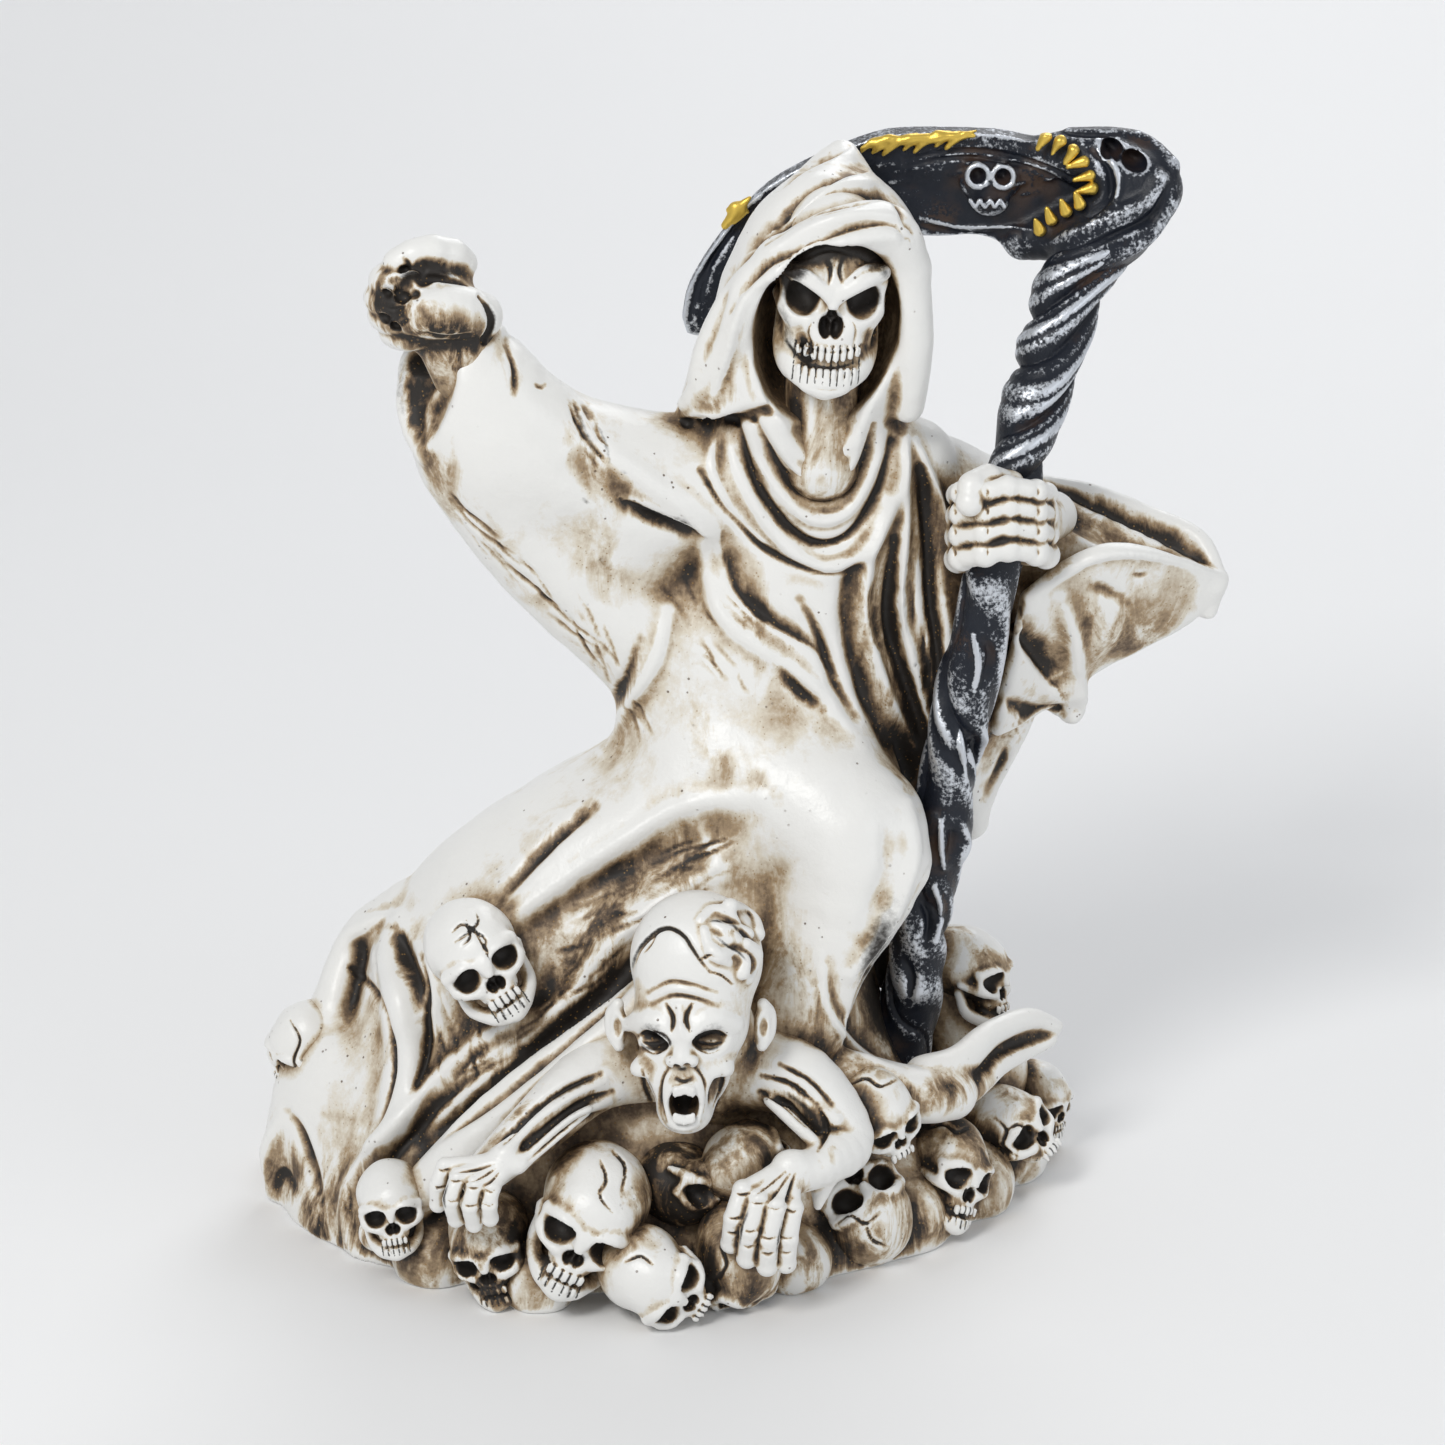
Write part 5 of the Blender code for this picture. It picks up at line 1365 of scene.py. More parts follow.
CRAWLER_INK = (
    # Crack of the scalp, gaps between the torn strands
    (5, 0.9, 0, SCALP_CRACK),
    (4, 0.8, 0, ((706, 922), (720, 921), (734, 926), (744, 940))),
    (4, 0.8, 0, ((714, 934), (726, 945), (738, 952), (748, 962))),
    # Frown, rims of the eyes
    (3.5, 0.9, 0, ((666, 1004), (673, 1018), (671, 1032))),
    (3.5, 0.9, 0, ((692, 1004), (686, 1018), (690, 1032))),
    # Cheeks, temples and the line of the jaw
    (16, 0.45, 0, ((644, 1072), (648, 1092), (656, 1112))),
    (16, 0.45, 0, ((723, 1072), (720, 1090), (713, 1112))),
    (12, 0.4, 0, ((638, 1030), (650, 1026), (664, 1030))),
    (12, 0.4, 0, ((728, 1030), (714, 1026), (698, 1030))),
    (5, 0.7, 0, ((672, 1078), (684, 1082), (696, 1078))),
    (
        4.5, 0.8, 0,
        ((638, 1036), (648, 1032), (662, 1034), (670, 1043), (660, 1049), (645, 1047), (638, 1038)),
    ),
    (
        4.5, 0.8, 0,
        ((726, 1036), (716, 1032), (702, 1034), (694, 1043), (703, 1049), (718, 1047), (726, 1038)),
    ),
    # Nostrils and mouth
    (6, 0.8, 0, ((676, 1067), (682, 1069), (688, 1067))),
    (13, 0.9, 0, ((684, 1097), (684, 1106), (684, 1114))),
    *((4, 0.7, 0, line) for line in FINGER_GAPS),
    # Deep streaks of the arms
    (8, 0.7, 0, ((596, 1078), (566, 1090), (534, 1112))),
    (8, 0.7, 0, ((604, 1098), (574, 1110), (540, 1136))),
    (7, 0.7, 0, ((780, 1090), (806, 1108), (822, 1132))),
)
CRAWLER_WASH = (
    (30, 0.8, 0, ((600, 1080), (560, 1095), (520, 1130))),
    (24, 0.8, 0, ((600, 1115), (560, 1130), (525, 1165))),
    (34, 0.7, 0, ((760, 1085), (800, 1100), (825, 1130))),
    (20, 0.7, 0, ((540, 1090), (510, 1120), (490, 1150))),
    (24, 0.6, 0, ((615, 1070), (600, 1090), (600, 1110))),
    (24, 0.5, 0, ((830, 1130), (826, 1160), (805, 1180))),
    (18, 0.6, 0, ((640, 1038), (655, 1038), (670, 1038))),
    (18, 0.6, 0, ((697, 1038), (711, 1038), (726, 1038))),
    (22, 0.8, 0, ((645, 1075), (648, 1092), (655, 1108))),
    (22, 0.8, 0, ((722, 1075), (720, 1092), (714, 1108))),
    (18, 0.7, 0, ((676, 1102), (690, 1104))),
    (14, 0.9, 0, ((662, 1096), (666, 1120), (684, 1136), (702, 1120), (706, 1096))),
    (20, 0.6, 0, ((640, 1056), (646, 1064), (660, 1070))),
    (20, 0.6, 0, ((726, 1056), (720, 1064), (708, 1070))),
    (10, 0.9, 0, ((672, 1078), (684, 1080), (696, 1078))),
    (26, 0.4, 0, ((640, 940), (660, 930), (690, 940))),
    (26, 0.5, 0, ((700, 940), (720, 930), (745, 935))),
    (34, 0.7, 0, ((655, 1150), (690, 1155), (740, 1150))),
    (26, 0.5, 0, ((745, 1000), (752, 1040), (745, 1080))),
    (20, 0.5, 0, ((630, 960), (634, 1000), (640, 1030))),
    (14, 0.5, 0, ((668, 1006), (680, 1012), (692, 1006))),
    (20, 0.5, 0, ((706, 920), (730, 930), (745, 955))),
    (44, 0.9, 0, ((735, 1210), (755, 1235), (790, 1248))),
    (26, 0.7, 0, ((776, 1180), (800, 1186), (812, 1200))),
    (34, 0.6, 0, ((440, 1180), (465, 1200), (488, 1205))),
    (40, 0.6, 0, ((770, 1070), (800, 1090), (830, 1140))),
)


# Scythe: shaft stations (x, y, z, radius) as in the solid
SHAFT = (
    (36.5, -5, 27, 5.6),
    (40.7, -8, 65, 5.3),
    (44.2, -10, 90, 5.4),
    (49.6, -12, 120, 5.5),
    (54.6, -12, 145.6, 5.3),
    (57.8, -8, 159.6, 5.7),
    (62.9, 0, 173.4, 6.2),
    (68.4, 8, 188.4, 6.8),
    (75.0, 13, 199.5, 7.4),
)
BLADE_Y = 16.5
BLADE_HALF = 3.1
BLADE_BACK = (
    *((72, 208), (64, 214.2), (55, 216.8), (46, 217.6), (38, 217.8), (30, 216.5)),
    *((20, 212.6), (9, 206.6), (0, 197), (-6.3, 187), (-8.0, 180)),
)
BLADE_EDGE = (
    *((-7, 176.4), (-3.6, 176.4), (0, 184), (6, 190.5), (15, 195.5), (27, 197.6)),
    *((41, 196.2), (50, 196.5), (59, 194.4), (70, 199)),
)


def outline_distance(outline, x, z):
    """Signed distance on a plane grid to a closed outline, negative inside."""
    spots = np.stack(np.broadcast_arrays(x, z), -1).reshape(-1, 2)
    gap = np.full(len(spots), 1e9)
    inside = np.zeros(len(spots), bool)
    for a, b in zip(outline, np.roll(outline, -1, axis=0)):
        step = b - a
        offset = spots - a
        t = np.clip(offset @ step / max(step @ step, 1e-9), 0, 1)
        gap = np.minimum(gap, np.linalg.norm(offset - t[:, None] * step, axis=1))
        crosses = (a[1] > spots[:, 1]) != (b[1] > spots[:, 1])
        if a[1] != b[1]:
            inside ^= crosses & (spots[:, 0] < a[0] + (spots[:, 1] - a[1]) * step[0] / step[1])
    return np.where(inside, -gap, gap).reshape(np.broadcast_shapes(x.shape, z.shape))


def press_blade(f):
    outline = np.vstack([smooth_path(BLADE_BACK, 4), smooth_path(BLADE_EDGE, 4)])
    edge = smooth_path(BLADE_EDGE, 4)
    x, z = f.axes[0][:, None], f.axes[2][None, :]
    flat = outline_distance(outline, x, z)
    spots = np.stack(np.broadcast_arrays(x, z), -1)
    lower = np.min([np.linalg.norm(spots - p, axis=-1) for p in edge], axis=0)
    fuller = np.clip(1.0 - 0.45 * np.exp(-((lower - 9) / 4) ** 2), 0, 1)
    half = np.clip(0.7 + 0.3 * lower, 0, BLADE_HALF) * fuller
    y = np.abs(f.axes[1] - BLADE_Y)[None, :, None]
    new = np.maximum(flat[:, None, :], y - half[:, None, :]).astype(np.float32)
    f.d = smooth_min(f.d, new, 0.8)


def shaft_shape(points):
    """Height of the relief: strands twisted like rope above the hand, wavy bark below it."""
    path = smooth_path(SHAFT, 12)
    z = points[:, 2]
    x, y = (points[:, i] - np.interp(z, path[:, 2], path[:, i]) for i in (0, 1))
    angle = np.arctan2(y, x)
    rise = 0.3 * (z - 150) + 0.0045 * (z - 150) ** 2
    strand = 2 * angle - rise + 0.9 * np.sin(angle + z / 7) + 0.5 * np.sin(2 * angle - z / 4)
    rope = 2.4 * (np.abs(np.cos(strand / 2)) ** 0.6 - 0.74)
    rope += 0.35 * (np.abs(np.cos(1.5 * strand + 0.6)) - 0.6)
    wave = 2 * angle + 0.17 * z + 1.3 * np.sin(z / 8 + 1.2 * np.sin(angle + z / 13)) + 0.6 * np.sin(2 * angle)
    bark = 2.2 * (np.abs(np.cos(wave / 2)) ** 0.5 - 0.72) + 0.35 * np.cos(2 * wave + 1 + z / 7)
    above = np.clip((z - 150) / 6, 0, 1)
    fade = np.clip((204 - z) / 6, 0, 1) * np.clip(np.abs(z - 82) / 3 - 0.6, 0, 1)
    return fade * (above * rope + (1 - above) * bark)


def sculpt_shaft():
    f = Field((24, -20, 20), (90, 24, 214), SHAFT_VOXEL)
    f.limb(*SHAFT, steps=6, blend=0)
    # Collar below the hand
    f.limb((42.3, -9.6, 78.5, 6.2), (43.2, -9.7, 83.5, 6.5), blend=0.6)
    f.limb((42.9, -9.6, 81.4, 6.9), (43.1, -9.6, 82.6, 6.9), blend=0.5)
    skin = f.skin()
    relief = shaft_shape(skin.points)
    skin.points += skin.normals() * relief[:, None]
    skin.paint["crest"] = relief
    skin.draw(SHAFT_LINES)
    return skin


SHAFT_LINES = (
    # Oval hollows in the bark, each with a rim
    (15, -2.0, 0, ((970, 738), (976, 752), (972, 770))),
    (6, 1.3, 0, ((958, 726), (962, 752), (966, 780))),
    (6, 1.0, 0, ((984, 730), (988, 752), (982, 776))),
    (13, -1.9, 0, ((952, 828), (955, 842), (950, 858))),
    (6, 1.2, 0, ((941, 822), (941, 846), (944, 868))),
    (6, 1.0, 0, ((964, 824), (967, 844), (960, 864))),
    (11, -1.5, 0, ((984, 640), (992, 658), (984, 684))),
    (6, 1.1, 0, ((974, 636), (978, 664), (974, 690))),
    (10, -1.5, 0, ((920, 900), (930, 920), (926, 945))),
    (6, 1.2, 0, ((934, 886), (940, 908), (936, 940))),
    (9, -1.2, 0, ((905, 960), (912, 980), (908, 1000))),
)


def sculpt_blade():
    """Blade, its relief skull and the beast skull that bites it."""
    f = Field((-12, 0, 170), (95, 25, 218.6), LARGE_VOXEL)
    press_blade(f)
    f.limb((72, 11, 195, 7.4), (77.5, 13, 201, 7.6), (82.5, 14, 206.5, 6.4), blend=2)
    f.limb(
        (83.2, 13.8, 206, 6.6), (76, 14.6, 210.5, 6.2), (69, 15.6, 212.4, 5.2), (63, 16, 212.6, 3.8),
        blend=2,
    )
    f.limb((77, 12.6, 199, 7.2), (68, 14.6, 197.3, 5.6), (59, 16, 195.2, 3.8), blend=2)
    # Crook, brow and jaw lines of the beast
    f.limb(*f.route(BEAST_BROW, 0.9), blend=1.4)
    f.limb(*f.route(BEAST_LIP, 0.8), blend=1.2)
    f.limb(*f.route(BEAST_JAW, 0.9), blend=1.4)
    for px, py, size, lean in BEAST_EYES:
        f.ball(f.on(px, py, sink=0.4), size, (0, lean, 0), blend=0.4, carve=True)
    # Relief skull
    f.ball(pic(*RELIEF_BROW), (6.0, 2.3, 4.7), blend=0.8)
    f.ball(pic(*RELIEF_JAW), (3.8, 1.9, 3.2), blend=0.8)
    for px, py in RELIEF_EYES:
        turns = np.linspace(0, 2 * math.pi, 10)
        ring = [(px + 10.5 * math.cos(t), py + 10.5 * math.sin(t), 11.6, 0.65) for t in turns]
        f.limb(*pics(ring), blend=0.3)
        f.ball(pic(px, py, 11), (1.55, 2.6, 1.6), blend=0.2, carve=True)
    f.limb(*pics(RELIEF_NOSE), blend=0.2, carve=True)
    right, down = RELIEF_TEETH
    zig = [pic(right + 5 * k, down + (4 if k % 2 else -3), 10.9, 0.5) for k in range(8)]
    f.limb(*zig, blend=0.2, steps=1)
    # Raised rim along the back of the blade
    back = [p for p in smooth_path(BLADE_BACK, 3) if p[0] > 50]
    f.limb(*((x * 0.985, BLADE_Y - 2.3, z - 1.6, 0.5) for x, z in back), blend=1.2, steps=1)
    # Scratches along the blade
    for k in range(26):
        px = SCRATCHED[0] + 12 * k
        py = SCRATCHED[1] + 16 * math.sin(1.9 * k) + 0.0006 * (px - 950) ** 2
        f.limb(f.on(px, py, 0.35, sink=0.1), f.on(px + 16, py - 3, 0.3, sink=0.15), blend=0.6)
    skin = f.skin()
    skin.draw(BLADE_LINES)
    skin.points[:, 2] -= 0.5 * np.clip(skin.points[:, 2] - 217, 0, None)
    return skin


# Stations on the form: (right, down, radius)
BEAST_BROW = ((1170, 166, 2.0), (1146, 146, 2.2), (1110, 132, 2.0), (1072, 130, 1.5))
BEAST_LIP = ((1160, 178, 1.6), (1146, 200, 1.8), (1114, 218, 1.7), (1076, 234, 1.4), (1050, 244, 1.0))
BEAST_JAW = ((1170, 204, 1.6), (1148, 234, 1.9), (1118, 252, 1.8), (1082, 264, 1.3))
# Eye sockets of the beast: (right, down, radii, lean)
BEAST_EYES = ((1112, 150, (2.5, 5.0, 2.0), 30), (1134, 161, (2.7, 5.0, 1.9), 24))
RELIEF_BROW = (990, 180, 13.8)
RELIEF_JAW = (990, 200, 13.6)
RELIEF_EYES = ((978, 176), (1003, 177))
RELIEF_NOSE = ((990, 190, 10.6, 0.7), (988, 194, 10.6, 0.5))
RELIEF_TEETH = (970, 203)
SCRATCHED = (770, 178)
BLADE_LINES = (
    (4, -0.9, 0, ((905, 160), (950, 151), (992, 152), (1040, 164), (1082, 184))),
    (4, -0.9, 0, ((905, 166), (950, 158), (992, 159), (1038, 171), (1076, 190))),
    (5, 0.7, 0, ((920, 218), (960, 226), (1000, 226), (1030, 230))),
    (5, -0.7, 0, ((925, 226), (965, 234), (1005, 234))),
    (5, -0.9, 0, ((700, 300), (712, 262), (735, 228), (760, 204))),
    (5, -0.8, 0, ((690, 318), (700, 280), (722, 244))),
    (7, -1.3, 0, ((1170, 186), (1150, 218), (1112, 236), (1066, 256))),
    (7, -1.2, 0, ((1092, 150), (1108, 170), (1108, 196), (1090, 215))),
    (6, 0.8, 0, ((1098, 140), (1118, 176), (1116, 204))),
    (7, -1.3, 0, ((1160, 248), (1124, 270), (1084, 284))),
    (6, -0.9, 0, ((1060, 132), (1090, 134), (1120, 134))),
)


def sculpt_gold():
    """Teeth of the beast and the leaves on the blade."""
    f = Field((-10, -2, 178), (92, 24, 217.8), SMALL_VOXEL)
    for k, (px, py) in enumerate(UPPER_TEETH):
        drop = (-8, 13) if k < 3 else (-16, 5)
        f.limb(pic(px, py, 9.8, 1.25), pic(px + drop[0], py + drop[1], 9.8, 0.45), blend=0.2, steps=2)
    for px, py in LOWER_TEETH:
        y = 8.2 + 0.07 * (1080 - px)
        f.limb(pic(px, py, y, 1.25), pic(px - 5, py - 11, y - 0.4, 0.5), blend=0.2, steps=2)
    # Leaves where the hood meets the blade
    for k in range(10):
        px, py = 862 + 10.5 * k, 151 - 1.1 * k + 3 * (k % 3)
        f.limb(
            pic(px, py, 12.8, 0.45), pic(px + 10, py - 9, 12.6, 0.8), pic(px + 24, py - 14, 13.2, 0.35),
            blend=0.15,
        )
    for a, b, c, r in LEAVES:
        f.limb(pic(*a, 12.6, 0.6 * r), pic(*b, 12.4, r), pic(*c, 12.6, 0.4 * r), blend=0.3)
    # Residue of glue at the belt
    for px, py, r in GLUE:
        f.ball(pic(px, py, -14 - (px - GLUE[0][0]) * 0.02), (r * 1.3, r, r * 0.8), blend=0.5)
    skin = f.skin()
    skin.points += skin.normals() * 0.22 * rough_noise(skin.points, 1.9, 8)[:, None]
    return skin


UPPER_TEETH = ((1046, 136), (1060, 141), (1073, 150), (1084, 162), (1090, 175), (1092, 188))
LOWER_TEETH = ((1080, 204), (1066, 211), (1052, 220), (1040, 230))
# Leaves: three picture points and the radius
LEAVES = (
    ((862, 148), (884, 140), (905, 137), 0.9),
    ((884, 146), (910, 139), (940, 136), 1.0),
    ((915, 143), (945, 137), (974, 136), 0.9),
    ((725, 226), (736, 212), (750, 198), 1.2),
    ((734, 222), (742, 212), (746, 206), 1.0),
    ((728, 210), (738, 206), (748, 212), 0.9),
)
GLUE = ((896, 780, 1.0), (906, 788, 1.1), (916, 793, 0.8), (925, 788, 0.7))


class Solid:
    """Coarse record of where there is material, blurred to tell how enclosed a point is."""

    def __init__(self, voxel, skins):
        low = np.min([skin.points.min(axis=0) for skin in skins], axis=0) - 4 * voxel
        high = np.max([skin.points.max(axis=0) for skin in skins], axis=0) + 4 * voxel
        self.low, self.voxel = low, voxel
        self.size = np.ceil((high - low) / voxel).astype(int) + 1
        full = np.zeros(self.size, bool)
        for skin in skins:
            a, b, c, d = (skin.points[skin.faces[:, i]] for i in range(4))
            spots = np.vstack([skin.points, (a + b + c + d) / 4])
            cells = np.round((spots - low) / voxel).astype(int)
            full[tuple(cells.T)] = True
        # What the shell encloses is everything the outside can't reach
        outside = np.zeros_like(full)
        outside[0], outside[-1] = True, True
        outside[:, 0], outside[:, -1] = True, True
        outside[:, :, 0], outside[:, :, -1] = True, True
        count = -1
        while outside.sum() != count:
            count = outside.sum()
            for _ in range(12):
                for axis in range(3):
                    ahead = [slice(None)] * 3
                    behind = [slice(None)] * 3
                    ahead[axis], behind[axis] = slice(1, None), slice(None, -1)
                    ahead, behind = tuple(ahead), tuple(behind)
                    outside[ahead] |= outside[behind]
                    outside[behind] |= outside[ahead]
                    outside &= ~full
        self.full = (~outside).astype(np.float32)

    def blurred(self, reach):
        width = max(1, round(reach / self.voxel))
        field = self.full
        for _ in range(2):
            for axis in range(3):
                total = np.cumsum(field, axis=axis, dtype=np.float64)
                pad = [(0, 0)] * 3
                pad[axis] = (width + 1, width)
                total = np.pad(total, pad, mode="edge")
                first, last = [slice(None)] * 3, [slice(None)] * 3
                last[axis] = slice(2 * width + 1, None)
                first[axis] = slice(0, field.shape[axis])
                field = (total[tuple(last)] - total[tuple(first)]) / (2 * width + 1)
        return field

    def sample(self, field, points):
        scaled = np.clip((points - self.low) / self.voxel, 0, self.size - 1.001)
        cell = scaled.astype(int)
        part = scaled - cell
        total = np.zeros(len(points))
        for corner in np.ndindex(2, 2, 2):
            index = cell + corner
            weight = np.prod(np.where(corner, part, 1 - part), axis=1)
            total += weight * field[tuple(index.T)]
        return total


def paint_forms(skin, spacing, solid, near, far):
    """Attributes that tell the paint where the surface is hollow, ridged or enclosed."""
    normals = skin.normals()
    small = skin.averaged(skin.points, max(1, round((0.55 / spacing) ** 2 * 4)))
    large = skin.averaged(small, max(2, round((1.3 / spacing) ** 2 * 4)))
    fine = ((small - skin.points) * normals).sum(axis=1)
    broad = ((large - skin.points) * normals).sum(axis=1)
    skin.paint["fine"] = fine
    skin.paint["broad"] = broad
    skin.paint["close"] = solid.sample(near, skin.points + normals * 1.4)
    skin.paint["deep"] = solid.sample(far, skin.points + normals * 3.5)
    for key in ("wash", "ink", "crest"):
        skin.paint.setdefault(key, np.zeros(len(skin.points)))


class Nodes:
    """Short way to build a material's node tree."""

    def __init__(self, name):
        self.material = bpy.data.materials.new(name)
        self.material.use_nodes = True
        self.tree = self.material.node_tree
        self.shader = self.tree.nodes["Principled BSDF"]
        self.place = self.add("ShaderNodeTexCoord").outputs["Object"]

    def add(self, kind, **values):
        node = self.tree.nodes.new(kind)
        for key, value in values.items():
            setattr(node, key, value)
        return node

    def link(self, value, socket):
        if isinstance(value, bpy.types.NodeSocket):
            self.tree.links.new(value, socket)
        else:
            socket.default_value = value

    def math(self, operation, *values, clamp=False):
        node = self.add("ShaderNodeMath", operation=operation, use_clamp=clamp)
        for value, socket in zip(values, node.inputs):
            self.link(value, socket)
        return node.outputs[0]

    def spread(self, value, low, high, to_low=0.0, to_high=1.0):
        node = self.add("ShaderNodeMapRange", interpolation_type="SMOOTHSTEP")
        for key, item in zip(range(5), (value, low, high, to_low, to_high)):
            self.link(item, node.inputs[key])
        return node.outputs[0]

    def attribute(self, name):
        return self.add("ShaderNodeAttribute", attribute_name=name).outputs["Fac"]

    def noise(self, scale, detail=4.0, rough=0.55, stretch=(1, 1, 1), turn=(0, 0, 0), warp=0.0):
        mapping = self.add("ShaderNodeMapping")
        self.link(self.place, mapping.inputs["Vector"])
        mapping.inputs["Scale"].default_value = stretch
        mapping.inputs["Rotation"].default_value = [math.radians(a) for a in turn]
        node = self.add("ShaderNodeTexNoise")
        self.link(mapping.outputs[0], node.inputs["Vector"])
        for key, value in (("Scale", scale), ("Detail", detail), ("Roughness", rough), ("Distortion", warp)):
            node.inputs[key].default_value = value
        return node.outputs["Fac"]

    def dots(self, scale, size):
        """Small spots, 1 inside."""
        node = self.add("ShaderNodeTexVoronoi")
        self.link(self.place, node.inputs["Vector"])
        node.inputs["Scale"].default_value = scale
        return self.spread(node.outputs["Distance"], size, 0.6 * size)

    def ramp(self, value, *stops):
        node = self.add("ShaderNodeValToRGB")
        self.link(value, node.inputs[0])
        stop = node.color_ramp.elements
        while len(stop) < len(stops):
            stop.new(0.5)
        for element, (place, colour) in zip(stop, stops):
            element.position = place
            element.color = (*colour, 1)
        return node.outputs["Color"]

    def mix(self, share, a, b):
        node = self.add("ShaderNodeMix", data_type="RGBA")
        self.link(share, node.inputs[0])
        for value, socket in ((a, node.inputs[6]), (b, node.inputs[7])):
            self.link(value if isinstance(value, bpy.types.NodeSocket) else (*value, 1), socket)
        return node.outputs[2]

    def bump(self, *layers):
        normal = None
        for height, strength, distance in layers:
            node = self.add("ShaderNodeBump")
            node.inputs["Strength"].default_value = strength
            node.inputs["Distance"].default_value = distance
            self.link(height, node.inputs["Height"])
            if normal:
                self.link(normal, node.inputs["Normal"])
            normal = node.outputs[0]
        self.link(normal, self.shader.inputs["Normal"])


WHITE = (0.83, 0.825, 0.80)
CREAM = (0.70, 0.64, 0.53)
TAN = (0.40, 0.29, 0.175)
UMBER = (0.13, 0.082, 0.045)
BLACK = (0.016, 0.012, 0.009)
SPECK = (0.30, 0.17, 0.05)
BLUE_BLACK = (0.011, 0.014, 0.022)
SILVER = (0.66, 0.69, 0.74)
RUST = (0.09, 0.05, 0.028)
GOLD = (0.82, 0.57, 0.11)
OLD_GOLD = (0.50, 0.30, 0.04)
SOOT = (0.06, 0.04, 0.015)
FLOOR_GREY = (0.86, 0.86, 0.86)
FLOOR_PALE = (0.89, 0.89, 0.89)


def resin():
    """White glazed resin with a brown and black wash in its hollows."""
    n = Nodes("washed_resin")
    fine, broad, close, deep, wash = (n.attribute(k) for k in ("fine", "broad", "close", "deep", "wash"))
    patch = n.noise(70, 5, 0.6)
    streak = n.noise(170, 6, 0.65, (1, 1, 0.28), (0, 24, 0), 0.6)
    grain = n.noise(900, 4, 0.6)
    # Hollow places of all sizes hold the wash
    hollow = n.math("ADD", n.math("MULTIPLY", fine, 2.3), n.math("MULTIPLY", broad, 0.42))
    # Enclosed places darken too: brown wash and painted shade
    enclosed_wash_and_shade = n.math("ADD", n.spread(close, 0.36, 0.72), n.spread(deep, 0.16, 0.62))
    amount = n.math("ADD", hollow, n.math("MULTIPLY", enclosed_wash_and_shade, 0.36))
    painted = n.math("MULTIPLY", wash, n.spread(streak, 0.36, 0.62, 0.2, 1.0))
    amount = n.math("ADD", amount, n.math("MULTIPLY", painted, 0.6))
    uneven = n.math(
        "ADD", n.math("MULTIPLY", n.math("SUBTRACT", streak, 0.5), 0.9),
        n.math("MULTIPLY", n.math("SUBTRACT", patch, 0.5), 0.6),
    )
    uneven = n.math("ADD", uneven, n.math("MULTIPLY", n.math("SUBTRACT", grain, 0.5), 0.55))
    strength = n.spread(amount, 0.05, 0.5, 0.25, 1.0)
    amount = n.math("ADD", amount, n.math("MULTIPLY", uneven, strength))
    colour = n.ramp(amount, (0.09, WHITE), (0.22, CREAM), (0.45, TAN), (0.74, UMBER), (1.0, BLACK))
    # Pits with dirt in them, more where the wash lies
    pits = n.math("MULTIPLY", n.dots(420, 0.13), n.spread(n.noise(60, 3), 0.5, 0.62))
    specks = n.math("MULTIPLY", n.dots(900, 0.2), n.spread(amount, 0.08, 0.3))
    colour = n.mix(n.math("MULTIPLY", pits, 0.85), colour, UMBER)
    colour = n.mix(n.math("MULTIPLY", specks, 0.7), colour, SPECK)
    # Black ink, with the painted shadow and shade that the strokes lay
    ink = n.math("ADD", n.attribute("ink"), n.math("MULTIPLY", n.math("SUBTRACT", grain, 0.5), 0.5))
    colour = n.mix(n.spread(ink, 0.2, 0.75), colour, BLACK)
    n.link(colour, n.shader.inputs["Base Color"])
    n.link(
        n.spread(n.math("ADD", amount, n.math("MULTIPLY", patch, 0.2)), 0.1, 0.7, 0.34, 0.6),
        n.shader.inputs["Roughness"],
    )
    n.shader.inputs["Specular IOR Level"].default_value = 0.5
    n.bump(
        (n.noise(380, 5, 0.6), 0.35, 0.0005), (grain, 0.3, 0.0002),
        (n.math("MULTIPLY", pits, -1), 0.6, 0.0004),
    )
    return n.material


def worn_silver():
    """Blue-black paint with silver brushed over what stands out."""
    n = Nodes("brushed_silver_on_black")
    fine, broad, close, crest = (n.attribute(k) for k in ("fine", "broad", "close", "crest"))
    streak = n.noise(330, 6, 0.7, (1, 1, 0.35), (0, -20, 0), 0.5)
    grain = n.noise(1300, 4, 0.65)
    raised = n.math("ADD", n.math("MULTIPLY", fine, -3.4), n.math("MULTIPLY", broad, -0.9))
    raised = n.math("SUBTRACT", raised, n.math("MULTIPLY", n.spread(close, 0.34, 0.66), 0.35))
    raised = n.math("ADD", raised, n.math("MULTIPLY", n.math("SUBTRACT", streak, 0.5), 1.1))
    raised = n.math("ADD", raised, n.math("MULTIPLY", n.math("SUBTRACT", grain, 0.5), 2.0))
    raised = n.math("ADD", raised, n.math("MULTIPLY", crest, 0.3))
    silver = n.spread(raised, 0.24, 0.80)
    colour = n.mix(silver, BLUE_BLACK, SILVER)
    brown = n.math("MULTIPLY", n.spread(n.noise(55, 3), 0.5, 0.66), n.spread(raised, 0.1, -0.2))
    colour = n.mix(n.math("MULTIPLY", brown, 0.6), colour, RUST)
    n.link(colour, n.shader.inputs["Base Color"])
    n.link(n.math("MULTIPLY", silver, 0.85), n.shader.inputs["Metallic"])
    n.shader.inputs["Specular IOR Level"].default_value = 0.3
    n.link(n.spread(streak, 0.3, 0.7, 0.28, 0.46), n.shader.inputs["Roughness"])
    n.bump((streak, 0.45, 0.0005), (grain, 0.35, 0.00025))
    return n.material


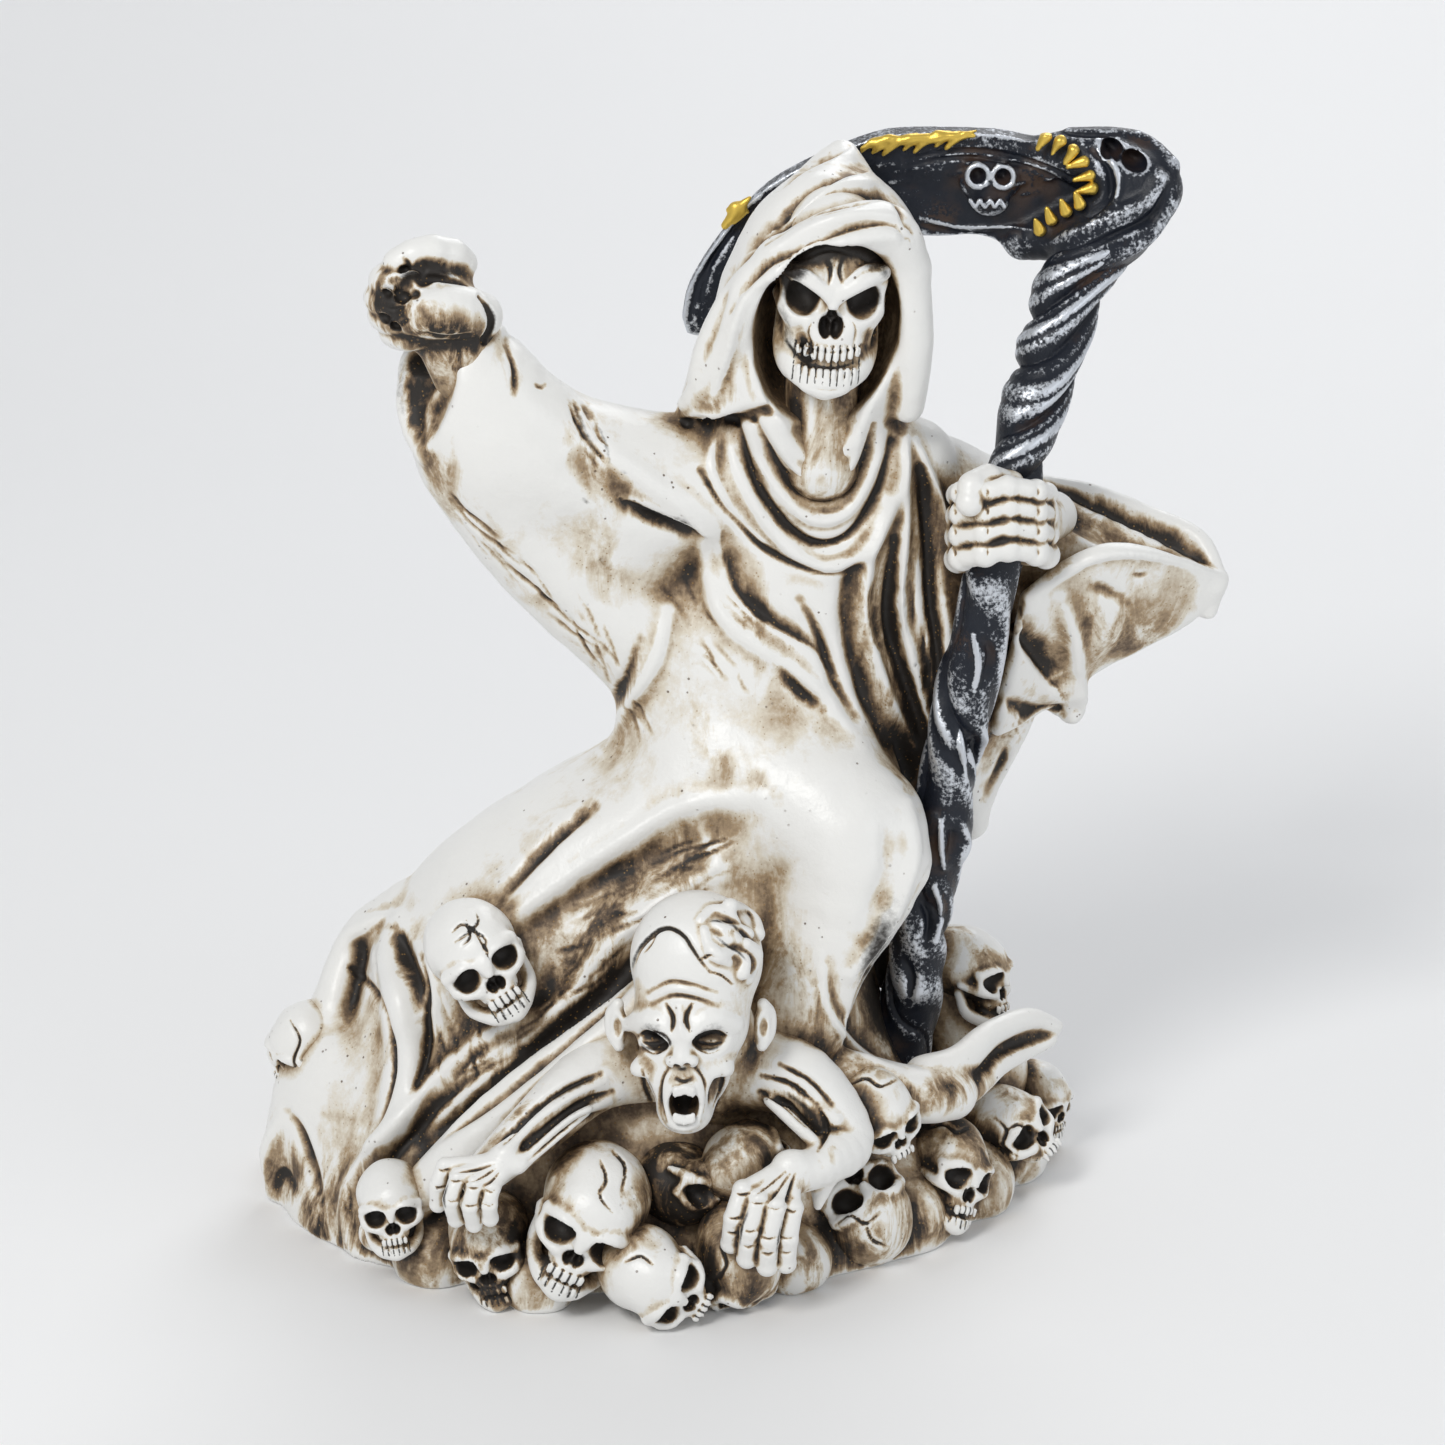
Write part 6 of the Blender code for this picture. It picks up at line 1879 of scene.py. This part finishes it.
def worn_gold():
    n = Nodes("worn_gold_paint")
    fine, broad = n.attribute("fine"), n.attribute("broad")
    grain = n.noise(800, 5, 0.65)
    hollow = n.math("ADD", n.math("MULTIPLY", fine, 3.0), broad)
    hollow = n.math("ADD", hollow, n.math("MULTIPLY", n.math("SUBTRACT", grain, 0.5), 1.0))
    colour = n.ramp(hollow, (0.0, GOLD), (0.3, OLD_GOLD), (0.65, SOOT))
    n.link(colour, n.shader.inputs["Base Color"])
    n.link(n.spread(hollow, 0.2, 0.6, 0.85, 0.1), n.shader.inputs["Metallic"])
    n.shader.inputs["Roughness"].default_value = 0.36
    n.bump((grain, 0.4, 0.0003),)
    return n.material


def pale_floor():
    n = Nodes("pale_floor")
    colour = n.mix(n.noise(3, 3), FLOOR_GREY, FLOOR_PALE)
    n.link(colour, n.shader.inputs["Base Color"])
    n.shader.inputs["Roughness"].default_value = 0.9
    n.bump((n.noise(60, 3), 0.05, 0.0005),)
    return n.material


def build_stage():
    """Floor that curves up into a backdrop."""
    width, front, back, rise, bend = 3.0, -2.2, 1.2, 2.6, 0.7
    profile = [(front, 0)]
    for k in range(17):
        t = math.pi / 2 * k / 16
        profile.append((back - bend + bend * math.sin(t), bend - bend * math.cos(t)))
    profile.append((back, rise))
    points = [(x, y, z) for x in (-width, width) for y, z in profile]
    count = len(profile)
    faces = [(i, i + count, i + count + 1, i + 1) for i in range(count - 1)]
    mesh = bpy.data.meshes.new("floor")
    mesh.from_pydata(points, [], faces)
    for face in mesh.polygons:
        face.use_smooth = True
    mesh.materials.append(pale_floor())
    floor = bpy.data.objects.new("floor", mesh)
    bpy.context.scene.collection.objects.link(floor)


def add_light(name, place, size, power, colour):
    light = bpy.data.lights.new(name, "AREA")
    light.shape = "DISK"
    light.size = size
    light.energy = power
    light.color = colour
    item = bpy.data.objects.new(name, light)
    item.location = place
    aim = Vector((0, 0, 0.09)) - Vector(place)
    item.rotation_mode = "QUATERNION"
    item.rotation_quaternion = aim.to_track_quat("-Z", "Y")
    bpy.context.scene.collection.objects.link(item)


def build_light():
    scene = bpy.context.scene
    scene.view_settings.view_transform = "Standard"
    world = bpy.data.worlds.new("studio")
    world.use_nodes = True
    world.node_tree.nodes["Background"].inputs[0].default_value = (0.95, 0.97, 1.0, 1)
    world.node_tree.nodes["Background"].inputs[1].default_value = 0.5
    scene.world = world
    add_light("key", (-0.45, -0.85, 0.95), 0.4, 7.2, (1, 0.99, 0.97))
    add_light("fill", (0.85, -0.6, 0.45), 0.6, 1.5, (0.94, 0.97, 1))
    add_light("rim", (0.3, 0.8, 0.8), 0.6, 3, (0.97, 0.98, 1))


def build_camera():
    camera = bpy.data.cameras.new("camera")
    camera.sensor_width = 36
    camera.lens = FOCUS / PICTURE * 36
    camera.clip_start = 0.05
    item = bpy.data.objects.new("camera", camera)
    item.location = EYE * MM
    item.rotation_mode = "QUATERNION"
    item.rotation_quaternion = Vector(AWAY).to_track_quat("-Z", "Y")
    bpy.context.scene.collection.objects.link(item)
    bpy.context.scene.camera = item


def dress():
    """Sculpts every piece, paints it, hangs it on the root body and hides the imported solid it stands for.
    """
    bare = {
        "robe": (sculpt_robe(), ROBE_VOXEL),
        "heap_front": (sculpt_heap(FRONT_SKULLS, NEAR_SKULL_VOXEL, 10), 0.45),
        "heap_side": (sculpt_heap(SIDE_SKULLS, SIDE_SKULL_VOXEL, 30), 0.45),
        "heap_back": (sculpt_heap(BACK_SKULLS, BACK_SKULL_VOXEL, 50), 0.9),
        "crawler": (sculpt_crawler(), LARGE_VOXEL),
        "hooded_skull": (sculpt_hooded_skull(), 0.4),
        "raised_fist": (sculpt_raised_fist(), SMALL_VOXEL),
        "staff_fist": (sculpt_staff_fist(), SMALL_VOXEL),
        "scythe_shaft": (sculpt_shaft(), SHAFT_VOXEL),
        "scythe_blade": (sculpt_blade(), LARGE_VOXEL),
        "scythe_gold": (sculpt_gold(), SMALL_VOXEL),
    }
    solid = Solid(1.5, [skin for skin, _ in bare.values()])
    near, far = solid.blurred(1.5), solid.blurred(4)
    white, silver, gold = resin(), worn_silver(), worn_gold()
    for name, (skin, spacing) in bare.items():
        paint_forms(skin, spacing, solid, near, far)
        metal = name.startswith("scythe")
        if name == "scythe_gold":
            material = gold
        else:
            material = silver if metal else white
        item = make_object(name, skin, material)
        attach(item, "root")
        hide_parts("scythe" if metal else "reaper_figure")


dress()
build_stage()
build_light()
build_camera()
